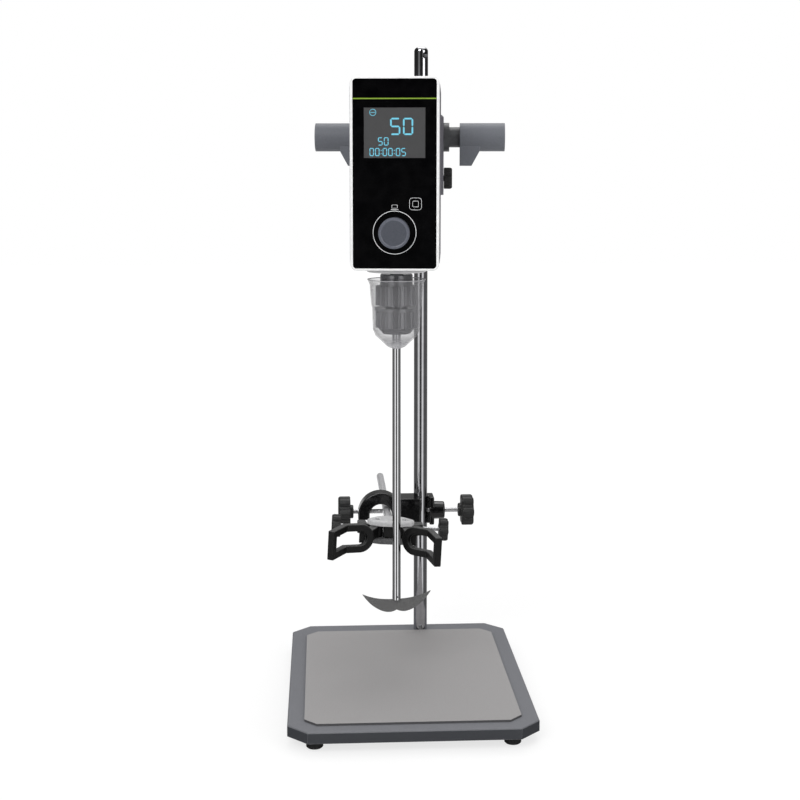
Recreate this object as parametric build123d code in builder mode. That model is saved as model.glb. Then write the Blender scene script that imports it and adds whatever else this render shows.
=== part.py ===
# Overhead stirrer on a plate stand, with a boss head and a flask clamp on its column.
# Millimetres. X to the right, Y to the back, Z up, the floor at zero, the plate's middle at X 0 and Y 0.
import os
from math import cos, radians, sin

from build123d import *

os.makedirs("parts", exist_ok=True)

# Fits
run = 0.05  # radial clearance of a shaft that turns or slides in its bore
gap = 0.3  # clearance between faces of pieces that move against each other
snug = 0.15  # radial clearance round a piece that is held by something else

# Stand
plate_w = 222
plate_d = 283
plate_t = 10
plate_cut = 18
foot_d = 15
foot_h = 9
foot_x = 87
foot_y = 125.5
plate_top = foot_h + plate_t
mat_w = 192
mat_t = 2
mat_cut = 11
mat_front = 14.7
col_x = 23
col_y = plate_d / 2 - 16
col_d = 14
col_r = col_d / 2
col_split = 320.2
col_top = 623.8
col_dome = 4.5
spigot_d = 10
stud_d = 8
stud_half = 14
nut_h = 6
nut_flats = 16
hole_low_d = 6
hole_low_z = plate_top + 4.2
hole_top_d = 7
hole_top_z = col_top - 8.5
hole_top_turn = 37

# Head, in its own frame: the column's axis is its origin and it is turned about it
swivel = 5.2
head_off = 20.3  # the head's middle plane is this far to the left of the column
reach = 125  # from the column's axis forward to the spindle's axis
mid_x = -11.2  # middle plane of the carriage
handle_z = 533.6  # the height of the handles, from which the carriage and the head take theirs
bar_z = handle_z - 27
head_low = bar_z - 96.6
head_h = 173.9
head_top = head_low + head_h
head_mid = head_low + head_h / 2
face_y = reach + 45  # front of the glass, forward of the column's axis
bezel_w = 80.6
bezel_r = 6
bezel_t = 6
lip_t = 3
lip_gap = 0.2
shell_w = bezel_w + 1
shell_r = 9
shell_t = 2.5
shell_back = 39.4
panel_w = bezel_w - 5.1
panel_h = head_h - 4
panel_r = 3.2
panel_t = 2
ledge = 3
shell_front = face_y - bezel_t

# Carriage
carr_half = 34.2
carr_front = 20
carr_back = 20
carr_low = handle_z - 58
carr_high = handle_z + 22
bush_d = 20
bush_cap_d = 26
bush_cap_t = 3.6
flange_d = 29
flange_t = 5.7
neck_d = 20.4
neck_l = 10.6
stub_d = 12
stub_in = 9.5
stub_out = 34
grip_d = 28.4
grip_l = 45.4
gusset_h = 14.6
gusset_l = 11.9
gusset_slant = 8.3
gusset_t = 22
lock_z = handle_z - 41.3
lock_screw_d = 6
lock_free = 1.3  # from the lock screw's tip to the bush
star_d = 23.8
star_t = 8.4
bar_d = 16
bar_in = 18
bar_out = 4
arm_flange_d = 36
arm_flange_t = 8

head = Plane(
    origin=(col_x, col_y, 0),
    x_dir=(cos(radians(swivel)), -sin(radians(swivel)), 0),
    z_dir=(0, 0, 1),
)
# front: sketch x to the right and y up, offset forward; side: sketch x to the back and y up, offset right
front = Plane(origin=head.origin, x_dir=head.x_dir, z_dir=-head.y_dir)
side = Plane(origin=head.origin, x_dir=head.y_dir, z_dir=head.x_dir)


def cut_corners(w, d, c):
    x = w / 2
    y = d / 2
    front = [(-x, c - y), (c - x, -y), (x - c, -y), (x, c - y)]
    return front + [(x, y - c), (x - c, y), (c - x, y), (-x, y - c)]


def lobed(across, lobes, lobe_r):
    """A star knob's outline: a disc with round lobes that reach the width across."""
    centre = across / 2 - lobe_r
    Circle(centre + lobe_r * 0.25)
    with PolarLocations(centre, lobes):
        Circle(lobe_r)


# Base plate
with BuildPart() as base_plate:
    with BuildSketch(Plane.XY.offset(foot_h)):
        Polygon(*cut_corners(plate_w, plate_d, plate_cut), align=None)
        with Locations((col_x, col_y)):
            Circle(spigot_d / 2 + snug, mode=Mode.SUBTRACT)
    extrude(amount=plate_t)
    top_rim = base_plate.faces().sort_by(Axis.Z)[-1].outer_wire().edges()
    chamfer(top_rim, length=0.8)

# Mat
mat_back = col_y - col_r - 1
mat_d = mat_back + plate_d / 2 - mat_front
with BuildPart() as base_mat:
    with BuildSketch(Plane.XY.offset(plate_top)):
        with Locations((0, mat_back - mat_d / 2)):
            Polygon(*cut_corners(mat_w, mat_d, mat_cut), align=None)
    extrude(amount=mat_t)

# Feet
feet = {}
for foot_name, sx, sy in (
    ("foot_front_left", -1, -1),
    ("foot_front_right", 1, -1),
    ("foot_rear_left", -1, 1),
    ("foot_rear_right", 1, 1),
):
    with BuildPart() as foot:
        with BuildSketch(Plane.XY):
            with Locations((sx * foot_x, sy * foot_y)):
                Circle(foot_d / 2)
        extrude(amount=foot_h)
        chamfer(foot.edges().group_by(Axis.Z)[0], length=1)
    feet[foot_name] = foot

# Lower rod of the column, with its spigot through the plate
with BuildPart() as column_lower:
    with BuildSketch(Plane.XY.offset(plate_top)):
        with Locations((col_x, col_y)):
            Circle(col_r)
    extrude(amount=col_split - plate_top)
    with BuildSketch(Plane.XY.offset(foot_h - nut_h)):
        with Locations((col_x, col_y)):
            Circle(spigot_d / 2)
    extrude(amount=plate_t + nut_h)
    with BuildSketch(Plane.XY.offset(col_split - stud_half)):
        with Locations((col_x, col_y)):
            Circle(stud_d / 2)
    extrude(amount=stud_half, mode=Mode.SUBTRACT)
    with BuildSketch(Plane.XZ.offset(-col_y)):
        with Locations((col_x, hole_low_z)):
            Circle(hole_low_d / 2)
    extrude(amount=col_d, both=True, mode=Mode.SUBTRACT)

# Upper rod, with the cross hole below its domed top
cross = Plane(
    origin=(col_x, col_y, 0),
    x_dir=(cos(radians(hole_top_turn)), sin(radians(hole_top_turn)), 0),
    z_dir=(sin(radians(hole_top_turn)), -cos(radians(hole_top_turn)), 0),
)
with BuildPart() as column_upper:
    with BuildSketch(Plane.XY.offset(col_split)):
        with Locations((col_x, col_y)):
            Circle(col_r)
    extrude(amount=col_top - col_split)
    fillet(column_upper.edges().group_by(Axis.Z)[-1], radius=col_dome)
    with BuildSketch(Plane.XY.offset(col_split)):
        with Locations((col_x, col_y)):
            Circle(stud_d / 2)
    extrude(amount=stud_half, mode=Mode.SUBTRACT)
    with BuildSketch(cross):
        with Locations((0, hole_top_z)):
            Circle(hole_top_d / 2)
    extrude(amount=col_d, both=True, mode=Mode.SUBTRACT)

# Stud between the two rods
with BuildPart() as column_stud:
    with BuildSketch(Plane.XY.offset(col_split - stud_half)):
        with Locations((col_x, col_y)):
            Circle(stud_d / 2)
    extrude(amount=2 * stud_half)

# Nut below the plate
with BuildPart() as column_nut:
    with BuildSketch(Plane.XY.offset(foot_h - nut_h)):
        with Locations((col_x, col_y)):
            RegularPolygon(radius=nut_flats / 2, side_count=6, major_radius=False)
            Circle(spigot_d / 2, mode=Mode.SUBTRACT)
    extrude(amount=nut_h)

# Guide bush: slides on the column, its two caps hold the carriage between them
with BuildPart() as guide_bush:
    with BuildSketch(head.offset(carr_low - gap - bush_cap_t)):
        Circle(bush_cap_d / 2)
    extrude(amount=bush_cap_t)
    with BuildSketch(head.offset(carr_low - gap)):
        Circle(bush_d / 2)
    extrude(amount=carr_high - carr_low + 2 * gap)
    with BuildSketch(head.offset(carr_high + gap)):
        Circle(bush_cap_d / 2)
    extrude(amount=bush_cap_t)
    with BuildSketch(head.offset(carr_low - gap - bush_cap_t)):
        Circle(col_r + run)
    extrude(amount=carr_high - carr_low + 2 * gap + 2 * bush_cap_t, mode=Mode.SUBTRACT)

# Carriage block
with BuildPart() as carriage_body:
    with BuildSketch(head.offset(carr_low)):
        with Locations((mid_x, (carr_back - carr_front) / 2)):
            RectangleRounded(2 * carr_half, carr_front + carr_back, 7)
    extrude(amount=carr_high - carr_low)
    chamfer(carriage_body.faces().sort_by(Axis.Z)[-1].edges(), length=2)
    with BuildSketch(head.offset(carr_low)):
        Circle(bush_d / 2 + run)
    extrude(amount=carr_high - carr_low, mode=Mode.SUBTRACT)
    with BuildSketch(front.offset(-carr_back)):
        with Locations((-head_off, bar_z)):
            Circle(bar_d / 2)
    extrude(amount=carr_front + carr_back, mode=Mode.SUBTRACT)
    with BuildSketch(side.offset(mid_x + carr_half - stub_in)):
        with Locations((0, handle_z)):
            Circle(stub_d / 2)
    extrude(amount=stub_in, mode=Mode.SUBTRACT)
    with BuildSketch(side.offset(mid_x - carr_half)):
        with Locations((0, handle_z)):
            Circle(stub_d / 2)
    extrude(amount=stub_in, mode=Mode.SUBTRACT)
    with BuildSketch(side.offset(bush_d / 2 - 1)):
        with Locations((0, lock_z)):
            Circle(lock_screw_d / 2 + run)
    extrude(amount=carr_half, mode=Mode.SUBTRACT)

# Black necks with their flanges and stubs
necks = {}
for neck_name, sx in (("neck_left", -1), ("neck_right", 1)):
    with BuildPart() as neck:
        with BuildSketch(side.offset(mid_x + sx * carr_half)):
            with Locations((0, handle_z)):
                Circle(flange_d / 2)
        extrude(amount=sx * flange_t)
        with BuildSketch(side.offset(mid_x + sx * (carr_half + flange_t))):
            with Locations((0, handle_z)):
                Circle(neck_d / 2)
        extrude(amount=sx * neck_l)
        with BuildSketch(side.offset(mid_x + sx * (carr_half - stub_in))):
            with Locations((0, handle_z)):
                Circle(stub_d / 2)
        extrude(amount=sx * (stub_in + flange_t + neck_l + stub_out))
    necks[neck_name] = neck

# Grips with the hand stop below their inner end
grips = {}
grip_start = carr_half + flange_t + neck_l
stop_low = handle_z - grip_d / 2 - gusset_h
for grip_name, sx in (("grip_left", -1), ("grip_right", 1)):
    x0 = mid_x + sx * grip_start
    with BuildPart() as grip:
        with BuildSketch(side.offset(x0)):
            with Locations((0, handle_z)):
                Circle(grip_d / 2)
        extrude(amount=sx * grip_l)
        with BuildSketch(front):
            with BuildLine():
                Polyline(
                    (x0, handle_z),
                    (x0, stop_low),
                    (x0 + sx * gusset_l, stop_low),
                    (x0 + sx * (gusset_l + gusset_slant), handle_z - grip_d / 2 + 0.5),
                    (x0 + sx * (gusset_l + gusset_slant), handle_z),
                    close=True,
                )
            make_face()
        extrude(amount=gusset_t / 2, both=True)
        with BuildSketch(side.offset(x0)):
            with Locations((0, handle_z)):
                Circle(stub_d / 2)
        extrude(amount=sx * stub_out, mode=Mode.SUBTRACT)
    grips[grip_name] = grip

# Lock screw and its star knob
with BuildPart() as lock_screw:
    with BuildSketch(side.offset(bush_d / 2 + lock_free)):
        with Locations((0, lock_z)):
            Circle(lock_screw_d / 2)
    extrude(amount=mid_x + carr_half + gap + star_t - 2 - bush_d / 2 - lock_free)
with BuildPart() as lock_knob:
    with BuildSketch(side.offset(mid_x + carr_half + gap)):
        with Locations((0, lock_z)):
            lobed(star_d, 6, 3.4)
            Circle(lock_screw_d / 2, mode=Mode.SUBTRACT)
    extrude(amount=star_t - 2)
    with BuildSketch(side.offset(mid_x + carr_half + gap + star_t - 2)):
        with Locations((0, lock_z)):
            lobed(star_d, 6, 3.4)
    extrude(amount=2, taper=25)

# Bar from the head's back through the carriage, and its flange on the head
with BuildPart() as support_bar:
    with BuildSketch(front.offset(shell_back + bar_in)):
        with Locations((-head_off, bar_z)):
            Circle(bar_d / 2)
    extrude(amount=-(shell_back + bar_in + carr_back + bar_out))
    chamfer(support_bar.edges().sort_by(Axis.Y)[-1:], length=1)
with BuildPart() as arm_flange:
    with BuildSketch(front.offset(shell_back)):
        with Locations((-head_off, bar_z)):
            Circle(arm_flange_d / 2)
            Circle(bar_d / 2, mode=Mode.SUBTRACT)
    extrude(amount=-arm_flange_t)

# Panel parts: display, knob and its encoder
disp_w = 55.3
disp_h = 45
disp_z = head_top - 50.1
disp_in = 0.3
disp_gap = 0.1
module_w = disp_w + 4.8
module_h = disp_h + 5
board_w = panel_w - 3.6
board_h = panel_h - 4.6
board_t = 1.6
board_y = face_y - bezel_t - lip_t  # its front face, forward of the column's axis
knob_z = head_low + 34.6
knob_d = 27.9
knob_l = 16
knob_gap = 2
knob_hollow_d = 12
knob_hollow_l = 4
enc_w = 14
enc_neck_d = 9
enc_out = 3
plunger_d = 6
plunger_in = 4
plunger_out = 13
push = 1

# Spindle, motor and bearings, all on the spindle's axis
boss_d = 56
boss_t = 4
boss_tube_d = 38
boss_top = head_low + 12
race_d = 24
race_t = 12
spindle_d = 12
spindle_top = boss_top + 51
motor_d = 56
motor_h = 78
motor_flange = 62
motor_flange_t = 3

# Chuck
collar_d = 30.6
collar_high = head_low - boss_t - 2
collar_low = collar_high - 11
rear_d = 39.4
rear_low = collar_low - 18.2
ribs = 18
rib_r = 1.5
sleeve_d = rear_d
sleeve_high = rear_low - 2.4
sleeve_lip_d = sleeve_d + 1.6
sleeve_lip_t = 3
nose_start = sleeve_high - 18.4
nose_low = nose_start - 6
nose_d = 26
core_d = 22
core_low = nose_start - 1
seat_low = collar_low - 2
jaw_out_d = 16
jaw_low = core_low - 3.5
jaw_high = sleeve_high - 3.4
jaw_split = 1.2

# Stirring rod and paddle
rod_d = 8
rod_l = 298.4
rod_high = seat_low - 2
rod_low = rod_high - rod_l
paddle_turn = 8
blade_t = 2
blade_half = 33.3
blade_mid = blade_half * 0.57
tip_rise = 6.6
lobe_x = blade_half * 0.3
lobe_drop = 11.7
notch_drop = 10
tab_w = 5.6
tab_h = 8.8
tab_in = 1.2
slot_h = tab_h + 0.2
pin_d = 1.6
pin_z = rod_low + 3.2

# Guard round the chuck
guard_wall = 1
guard_low = nose_low - 14.4
# radius and height above its lower end, up the outside of the funnel and then up the wall
funnel_points = [(8.3, 1.8), (19.9, 12.5), (22.2, 18.3)]
wall_points = [(22.2, 18.3), (22.9, 38.4), (23.8, 42), (25, 56.7), (25.2, 60.5), (27.4, 65.6)]

# Rear fittings
jack_x = -head_off - 22
jack_z = head_low + 33
jack_d = 12
switch_x = -head_off + 20
switch_z = jack_z
switch_w = 13
switch_h = 19
switch_deep = 9
trunnion_y = shell_back + 1.6
trunnion_d = 2
trunnion_out = 0.2

# Head shell
with BuildPart() as rear_housing:
    with BuildSketch(front.offset(shell_back)):
        with Locations((-head_off, head_mid)):
            RectangleRounded(shell_w, head_h, shell_r)
    extrude(amount=shell_front - shell_back)
    fillet(rear_housing.faces().sort_by(Axis.Y)[-1].edges(), radius=5)
    with BuildSketch(front.offset(shell_back + shell_t)):
        with Locations((-head_off, head_mid)):
            RectangleRounded(shell_w - 2 * shell_t, head_h - 2 * shell_t, shell_r - shell_t)
    extrude(amount=shell_front - shell_back - shell_t, mode=Mode.SUBTRACT)
    with BuildSketch(head.offset(head_low)):
        with Locations((-head_off, -reach)):
            Circle(boss_tube_d / 2 + snug)
    extrude(amount=shell_t, mode=Mode.SUBTRACT)
    with BuildSketch(front.offset(shell_back)):
        with Locations((-head_off, bar_z)):
            Circle(bar_d / 2)
        with Locations((jack_x, jack_z)):
            Circle(jack_d / 2)
        with Locations((switch_x, switch_z)):
            Rectangle(switch_w + 2 * gap, switch_h + 2 * gap)
    extrude(amount=shell_t, mode=Mode.SUBTRACT)

# White bezel
with BuildPart() as front_bezel:
    with BuildSketch(front.offset(shell_front)):
        with Locations((-head_off, head_mid)):
            RectangleRounded(bezel_w, head_h, bezel_r)
    extrude(amount=bezel_t)
    chamfer(front_bezel.faces().sort_by(Axis.Y)[0].edges(), length=0.8)
    with BuildSketch(front.offset(shell_front)):
        with Locations((-head_off, head_mid)):
            lip_w = shell_w - 2 * shell_t - 2 * lip_gap
            RectangleRounded(lip_w, head_h - 2 * shell_t - 2 * lip_gap, shell_r - shell_t - lip_gap)
    extrude(amount=-lip_t)
    with BuildSketch(front.offset(face_y)):
        with Locations((-head_off, head_mid)):
            RectangleRounded(panel_w, panel_h, panel_r)
    extrude(amount=-panel_t, mode=Mode.SUBTRACT)
    with BuildSketch(front.offset(shell_front - lip_t)):
        with Locations((-head_off, head_mid)):
            RectangleRounded(panel_w - 2 * ledge, panel_h - 2 * ledge, panel_r)
    extrude(amount=bezel_t + lip_t, mode=Mode.SUBTRACT)

# Glass front
with BuildPart() as front_panel:
    with BuildSketch(front.offset(face_y)):
        with Locations((-head_off, head_mid)):
            RectangleRounded(panel_w, panel_h, panel_r)
        with Locations((-head_off, disp_z)):
            Rectangle(disp_w, disp_h, mode=Mode.SUBTRACT)
        with Locations((-head_off, knob_z)):
            Circle(enc_neck_d / 2 + snug, mode=Mode.SUBTRACT)
    extrude(amount=-panel_t)

# Display, seen through the window in the glass
with BuildPart() as display_module:
    with BuildSketch(front.offset(face_y - disp_in)):
        with Locations((-head_off, disp_z)):
            Rectangle(disp_w - 2 * disp_gap, disp_h - 2 * disp_gap)
    extrude(amount=-(panel_t - disp_in))
    with BuildSketch(front.offset(face_y - panel_t)):
        with Locations((-head_off, disp_z)):
            Rectangle(module_w, module_h)
    extrude(amount=-(face_y - panel_t - board_y))

# Circuit board on the bezel's lip
with BuildPart() as circuit_board:
    with BuildSketch(front.offset(board_y)):
        with Locations((-head_off, head_mid)):
            Rectangle(board_w, board_h)
    extrude(amount=-board_t)

# Encoder: body on the board, neck through the glass
with BuildPart() as encoder_body:
    with BuildSketch(front.offset(board_y)):
        with Locations((-head_off, knob_z)):
            Rectangle(enc_w, enc_w)
    extrude(amount=face_y - panel_t - board_y)
    with BuildSketch(front.offset(board_y)):
        with Locations((-head_off, knob_z)):
            Circle(enc_neck_d / 2)
    extrude(amount=face_y - board_y + enc_out)
    with BuildSketch(front.offset(face_y - plunger_in - push - gap)):
        with Locations((-head_off, knob_z)):
            Circle(plunger_d / 2 + run)
    extrude(amount=2 * face_y, mode=Mode.SUBTRACT)

# Plunger of the encoder, on which the knob turns
with BuildPart() as encoder_plunger:
    with BuildSketch(front.offset(face_y - plunger_in)):
        with Locations((-head_off, knob_z)):
            Circle(plunger_d / 2)
    extrude(amount=plunger_in + plunger_out)

# Control knob
with BuildPart() as control_knob:
    with BuildSketch(front.offset(face_y + knob_gap)):
        with Locations((-head_off, knob_z)):
            Circle(knob_d / 2)
    extrude(amount=knob_l)
    chamfer(control_knob.faces().sort_by(Axis.Y)[0].edges(), length=1.2)
    with BuildSketch(front.offset(face_y + knob_gap)):
        with Locations((-head_off, knob_z)):
            Circle(knob_hollow_d / 2)
    extrude(amount=knob_hollow_l, mode=Mode.SUBTRACT)
    with BuildSketch(front.offset(face_y + knob_gap)):
        with Locations((-head_off, knob_z)):
            Circle(plunger_d / 2 + run)
    extrude(amount=plunger_out - knob_gap + gap, mode=Mode.SUBTRACT)

# Boss below the head that holds the bearing and carries the motor
with BuildPart() as bearing_boss:
    with BuildSketch(head.offset(head_low - boss_t)):
        with Locations((-head_off, -reach)):
            Circle(boss_d / 2)
    extrude(amount=boss_t)
    chamfer(bearing_boss.faces().sort_by(Axis.Z)[0].edges(), length=1)
    with BuildSketch(head.offset(head_low)):
        with Locations((-head_off, -reach)):
            Circle(boss_tube_d / 2)
    extrude(amount=boss_top - head_low)
    with BuildSketch(head.offset(head_low - boss_t)):
        with Locations((-head_off, -reach)):
            Circle(spindle_d / 2 + 1)
    extrude(amount=boss_top - head_low + boss_t, mode=Mode.SUBTRACT)
    with BuildSketch(head.offset(boss_top - race_t)):
        with Locations((-head_off, -reach)):
            Circle(race_d / 2)
    extrude(amount=race_t, mode=Mode.SUBTRACT)

with BuildPart() as spindle_bearing:
    with BuildSketch(head.offset(boss_top - race_t)):
        with Locations((-head_off, -reach)):
            Circle(race_d / 2)
            Circle(spindle_d / 2 + run, mode=Mode.SUBTRACT)
    extrude(amount=race_t)

# Motor
with BuildPart() as motor_can:
    with BuildSketch(head.offset(boss_top)):
        with Locations((-head_off, -reach)):
            Rectangle(motor_flange, motor_flange)
    extrude(amount=motor_flange_t)
    with BuildSketch(head.offset(boss_top + motor_flange_t)):
        with Locations((-head_off, -reach)):
            Circle(motor_d / 2)
    extrude(amount=motor_h)
    with BuildSketch(head.offset(boss_top)):
        with Locations((-head_off, -reach)):
            Circle(spindle_d / 2 + 1)
    extrude(amount=spindle_top - boss_top + 1, mode=Mode.SUBTRACT)

with BuildPart() as spindle:
    with BuildSketch(head.offset(seat_low)):
        with Locations((-head_off, -reach)):
            Circle(spindle_d / 2)
    extrude(amount=spindle_top - seat_low)

# Chuck: body with collar and ribbed rear ring
with BuildPart() as chuck_body:
    with BuildSketch(head.offset(core_low)):
        with Locations((-head_off, -reach)):
            Circle(core_d / 2)
    extrude(amount=rear_low - core_low)
    with BuildSketch(head.offset(rear_low)):
        with Locations((-head_off, -reach)):
            Circle(rear_d / 2 - rib_r)
            with PolarLocations(rear_d / 2 - rib_r, ribs):
                Circle(rib_r)
    extrude(amount=collar_low - rear_low)
    with BuildSketch(head.offset(collar_low)):
        with Locations((-head_off, -reach)):
            Circle(collar_d / 2)
    extrude(amount=collar_high - collar_low)
    chamfer(chuck_body.faces().sort_by(Axis.Z)[-1].edges(), length=1)
    with BuildSketch(head.offset(seat_low)):
        with Locations((-head_off, -reach)):
            Circle(spindle_d / 2)
    extrude(amount=collar_high - seat_low, mode=Mode.SUBTRACT)
    with BuildSketch(head.offset(core_low)):
        with Locations((-head_off, -reach)):
            Circle(rod_d / 2 + snug)
    extrude(amount=rod_high - core_low, mode=Mode.SUBTRACT)
    with BuildSketch(head.offset(core_low)):
        with Locations((-head_off, -reach)):
            Circle(jaw_out_d / 2)
    extrude(amount=jaw_high - core_low, mode=Mode.SUBTRACT)

# Front sleeve, turned by hand to open and close the jaws
with BuildPart() as chuck_sleeve:
    with BuildSketch(head.offset(nose_start)):
        with Locations((-head_off, -reach)):
            Circle(sleeve_d / 2 - rib_r)
            with PolarLocations(sleeve_d / 2 - rib_r, ribs):
                Circle(rib_r)
    extrude(amount=sleeve_high - nose_start)
    with BuildSketch(head.offset(sleeve_high - sleeve_lip_t)):
        with Locations((-head_off, -reach)):
            Circle(sleeve_lip_d / 2)
    extrude(amount=sleeve_lip_t)
    with BuildSketch(head.offset(nose_low)):
        with Locations((-head_off, -reach)):
            Circle(nose_d / 2)
    with BuildSketch(head.offset(nose_start)):
        with Locations((-head_off, -reach)):
            Circle(sleeve_d / 2 - rib_r)
    loft()
    with BuildSketch(head.offset(core_low - gap)):
        with Locations((-head_off, -reach)):
            Circle(core_d / 2 + run)
    extrude(amount=sleeve_high - core_low + gap, mode=Mode.SUBTRACT)
    with BuildSketch(head.offset(nose_low)):
        with Locations((-head_off, -reach)):
            Circle(jaw_out_d / 2 + gap)
    extrude(amount=core_low - nose_low, mode=Mode.SUBTRACT)

# Three jaws round the rod
chuck_jaws = {}
for jaw_name, jaw_at in (("chuck_jaw_a", 90), ("chuck_jaw_b", 210), ("chuck_jaw_c", 330)):
    with BuildPart() as chuck_jaw:
        with BuildSketch(head.offset(jaw_low)):
            with Locations(Location((-head_off, -reach, 0), (0, 0, jaw_at))):
                Circle(jaw_out_d / 2)
                Circle(rod_d / 2, mode=Mode.SUBTRACT)
                Polygon(
                    (jaw_split, 0),
                    (jaw_split + jaw_out_d, jaw_out_d * 1.732),
                    (jaw_split + jaw_out_d, -jaw_out_d * 1.732),
                    align=None,
                    mode=Mode.INTERSECT,
                )
        extrude(amount=jaw_high - jaw_low)
    chuck_jaws[jaw_name] = chuck_jaw

# Stirring rod, slotted at its lower end for the paddle's tab
blade = Plane(
    origin=head.from_local_coords((-head_off, -reach, 0)),
    x_dir=(cos(radians(paddle_turn)), sin(radians(paddle_turn)), 0),
    z_dir=(sin(radians(paddle_turn)), -cos(radians(paddle_turn)), 0),
)
with BuildPart() as stirring_rod:
    with BuildSketch(head.offset(rod_low)):
        with Locations((-head_off, -reach)):
            Circle(rod_d / 2)
    extrude(amount=rod_high - rod_low)
    with BuildSketch(blade):
        with Locations((0, rod_low + slot_h / 2)):
            Rectangle(rod_d + 1, slot_h)
    extrude(amount=blade_t / 2, both=True, mode=Mode.SUBTRACT)
    with BuildSketch(blade):
        with Locations((0, pin_z)):
            Circle(pin_d / 2)
    extrude(amount=rod_d, both=True, mode=Mode.SUBTRACT)

# Crescent paddle
blade_foot = head.from_local_coords((-head_off, -reach, rod_low))
with BuildPart() as paddle:
    with BuildSketch(Plane(origin=blade_foot, x_dir=blade.x_dir, z_dir=blade.z_dir)):
        with BuildLine():
            left_tip = (-blade_half, tip_rise)
            right_tip = (blade_half, tip_rise)
            notch = (0, -notch_drop)
            upper = [left_tip, (-blade_mid, tip_rise / 4), (0, 0), (blade_mid, tip_rise / 4), right_tip]
            shoulder = (0.8 * blade_half, -0.16 * lobe_drop)
            flank_low = (0.56 * blade_half, -0.7 * lobe_drop)
            lower = [right_tip, shoulder, flank_low, (lobe_x, -lobe_drop), notch]
            mirrored = [(-x, z) for x, z in reversed(lower)]
            Spline(*upper)
            Spline(*lower)
            Spline(*mirrored)
        make_face()
        with Locations((0, (tab_h - tab_in) / 2)):
            Rectangle(tab_w, tab_h + tab_in)
    extrude(amount=blade_t / 2, both=True)
    with BuildSketch(blade):
        with Locations((0, pin_z)):
            Circle(pin_d / 2)
    extrude(amount=blade_t, both=True, mode=Mode.SUBTRACT)

with BuildPart() as paddle_pin:
    with BuildSketch(blade):
        with Locations((0, pin_z)):
            Circle(pin_d / 2)
    extrude(amount=rod_d / 2 - 0.3, both=True)

# Translucent guard: a funnel that rides on the rod, and above it the wall round the chuck
guard_foot = head.from_local_coords((-head_off, -reach, guard_low))
guard_plane = Plane(origin=guard_foot, x_dir=head.x_dir, z_dir=-head.y_dir)
guard_axis = Axis(guard_foot, (0, 0, 1))
guard_bore = rod_d / 2 + run
with BuildPart() as guard_funnel:
    with BuildSketch(guard_plane):
        with BuildLine():
            funnel_in = [(r - guard_wall, z + 0.6) for r, z in funnel_points[:-1]]
            funnel_in.append((funnel_points[-1][0] - guard_wall, funnel_points[-1][1]))
            Polyline((guard_bore, 0), *funnel_points, *reversed(funnel_in), (guard_bore, 2.4), close=True)
        make_face()
    revolve(axis=guard_axis)
with BuildPart() as chuck_guard:
    with BuildSketch(guard_plane):
        with BuildLine():
            wall_in = [(r - guard_wall, z) for r, z in wall_points]
            Polyline(*wall_points, *reversed(wall_in), close=True)
        make_face()
    revolve(axis=guard_axis)

# Power inlet and rocker switch at the back
with BuildPart() as dc_jack:
    with BuildSketch(front.offset(shell_back)):
        with Locations((jack_x, jack_z)):
            Circle(jack_d / 2 + 2)
    extrude(amount=-1.5)
    with BuildSketch(front.offset(shell_back)):
        with Locations((jack_x, jack_z)):
            Circle(jack_d / 2)
    extrude(amount=11)
    with BuildSketch(front.offset(shell_back - 1.5)):
        with Locations((jack_x, jack_z)):
            Circle(3.2)
    extrude(amount=9, mode=Mode.SUBTRACT)
with BuildPart() as switch_rocker:
    with BuildSketch(side.offset(switch_x)):
        with BuildLine():
            Polyline(
                (-shell_back - switch_deep, switch_z - switch_h / 2 + 2),
                (-shell_back + 0.4, switch_z - switch_h / 2 + 0.6),
                (-shell_back + 3.2, switch_z - switch_h / 2 + 0.6),
                (-shell_back + 1.2, switch_z),
                (-shell_back + 3.2, switch_z + switch_h / 2 - 0.6),
                (-shell_back + 0.4, switch_z + switch_h / 2 - 0.6),
                (-shell_back - switch_deep, switch_z + switch_h / 2 - 2),
                close=True,
            )
        make_face()
    extrude(amount=switch_w / 2, both=True)
    with BuildSketch(side.offset(switch_x)):
        with Locations((-trunnion_y, switch_z)):
            Circle(trunnion_d / 2)
    extrude(amount=switch_w / 2 + trunnion_out, both=True)

# Boss head, in its own frame: origin on the column's axis, parallel to the plate
top = Plane(origin=(col_x, col_y, 0), x_dir=(1, 0, 0), z_dir=(0, 0, 1))
face = Plane(origin=(col_x, col_y, 0), x_dir=(1, 0, 0), z_dir=(0, -1, 0))
flank = Plane(origin=(col_x, col_y, 0), x_dir=(0, 1, 0), z_dir=(1, 0, 0))
rod_z = 146.5
hold_low = rod_z - 13.5
hold_high = rod_z + 15.8
hold_left = -22
hold_front = 13.5
hold_back = 14
hold_lip = -0.5
seat_r = col_r + gap
slot_right = 9
leg_right = 14
screw_z = rod_z + 0.6
screw_d = 4.6
boss_end = 25
screw_boss_d = 19
arch_x = -41.7
arch_z = rod_z - 2.4
arch_in = 11.6
arch_out = 23.5
arch_low = arch_z - 5
arch_half = 9
rod_x = -35.2
clamp_rod_d = 8
big_knob_d = 32.6
big_knob_t = 12.6
big_hub_d = 14
big_hub_t = 3.2
column_knob_x = 39.3
rod_knob_x = -70

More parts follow.
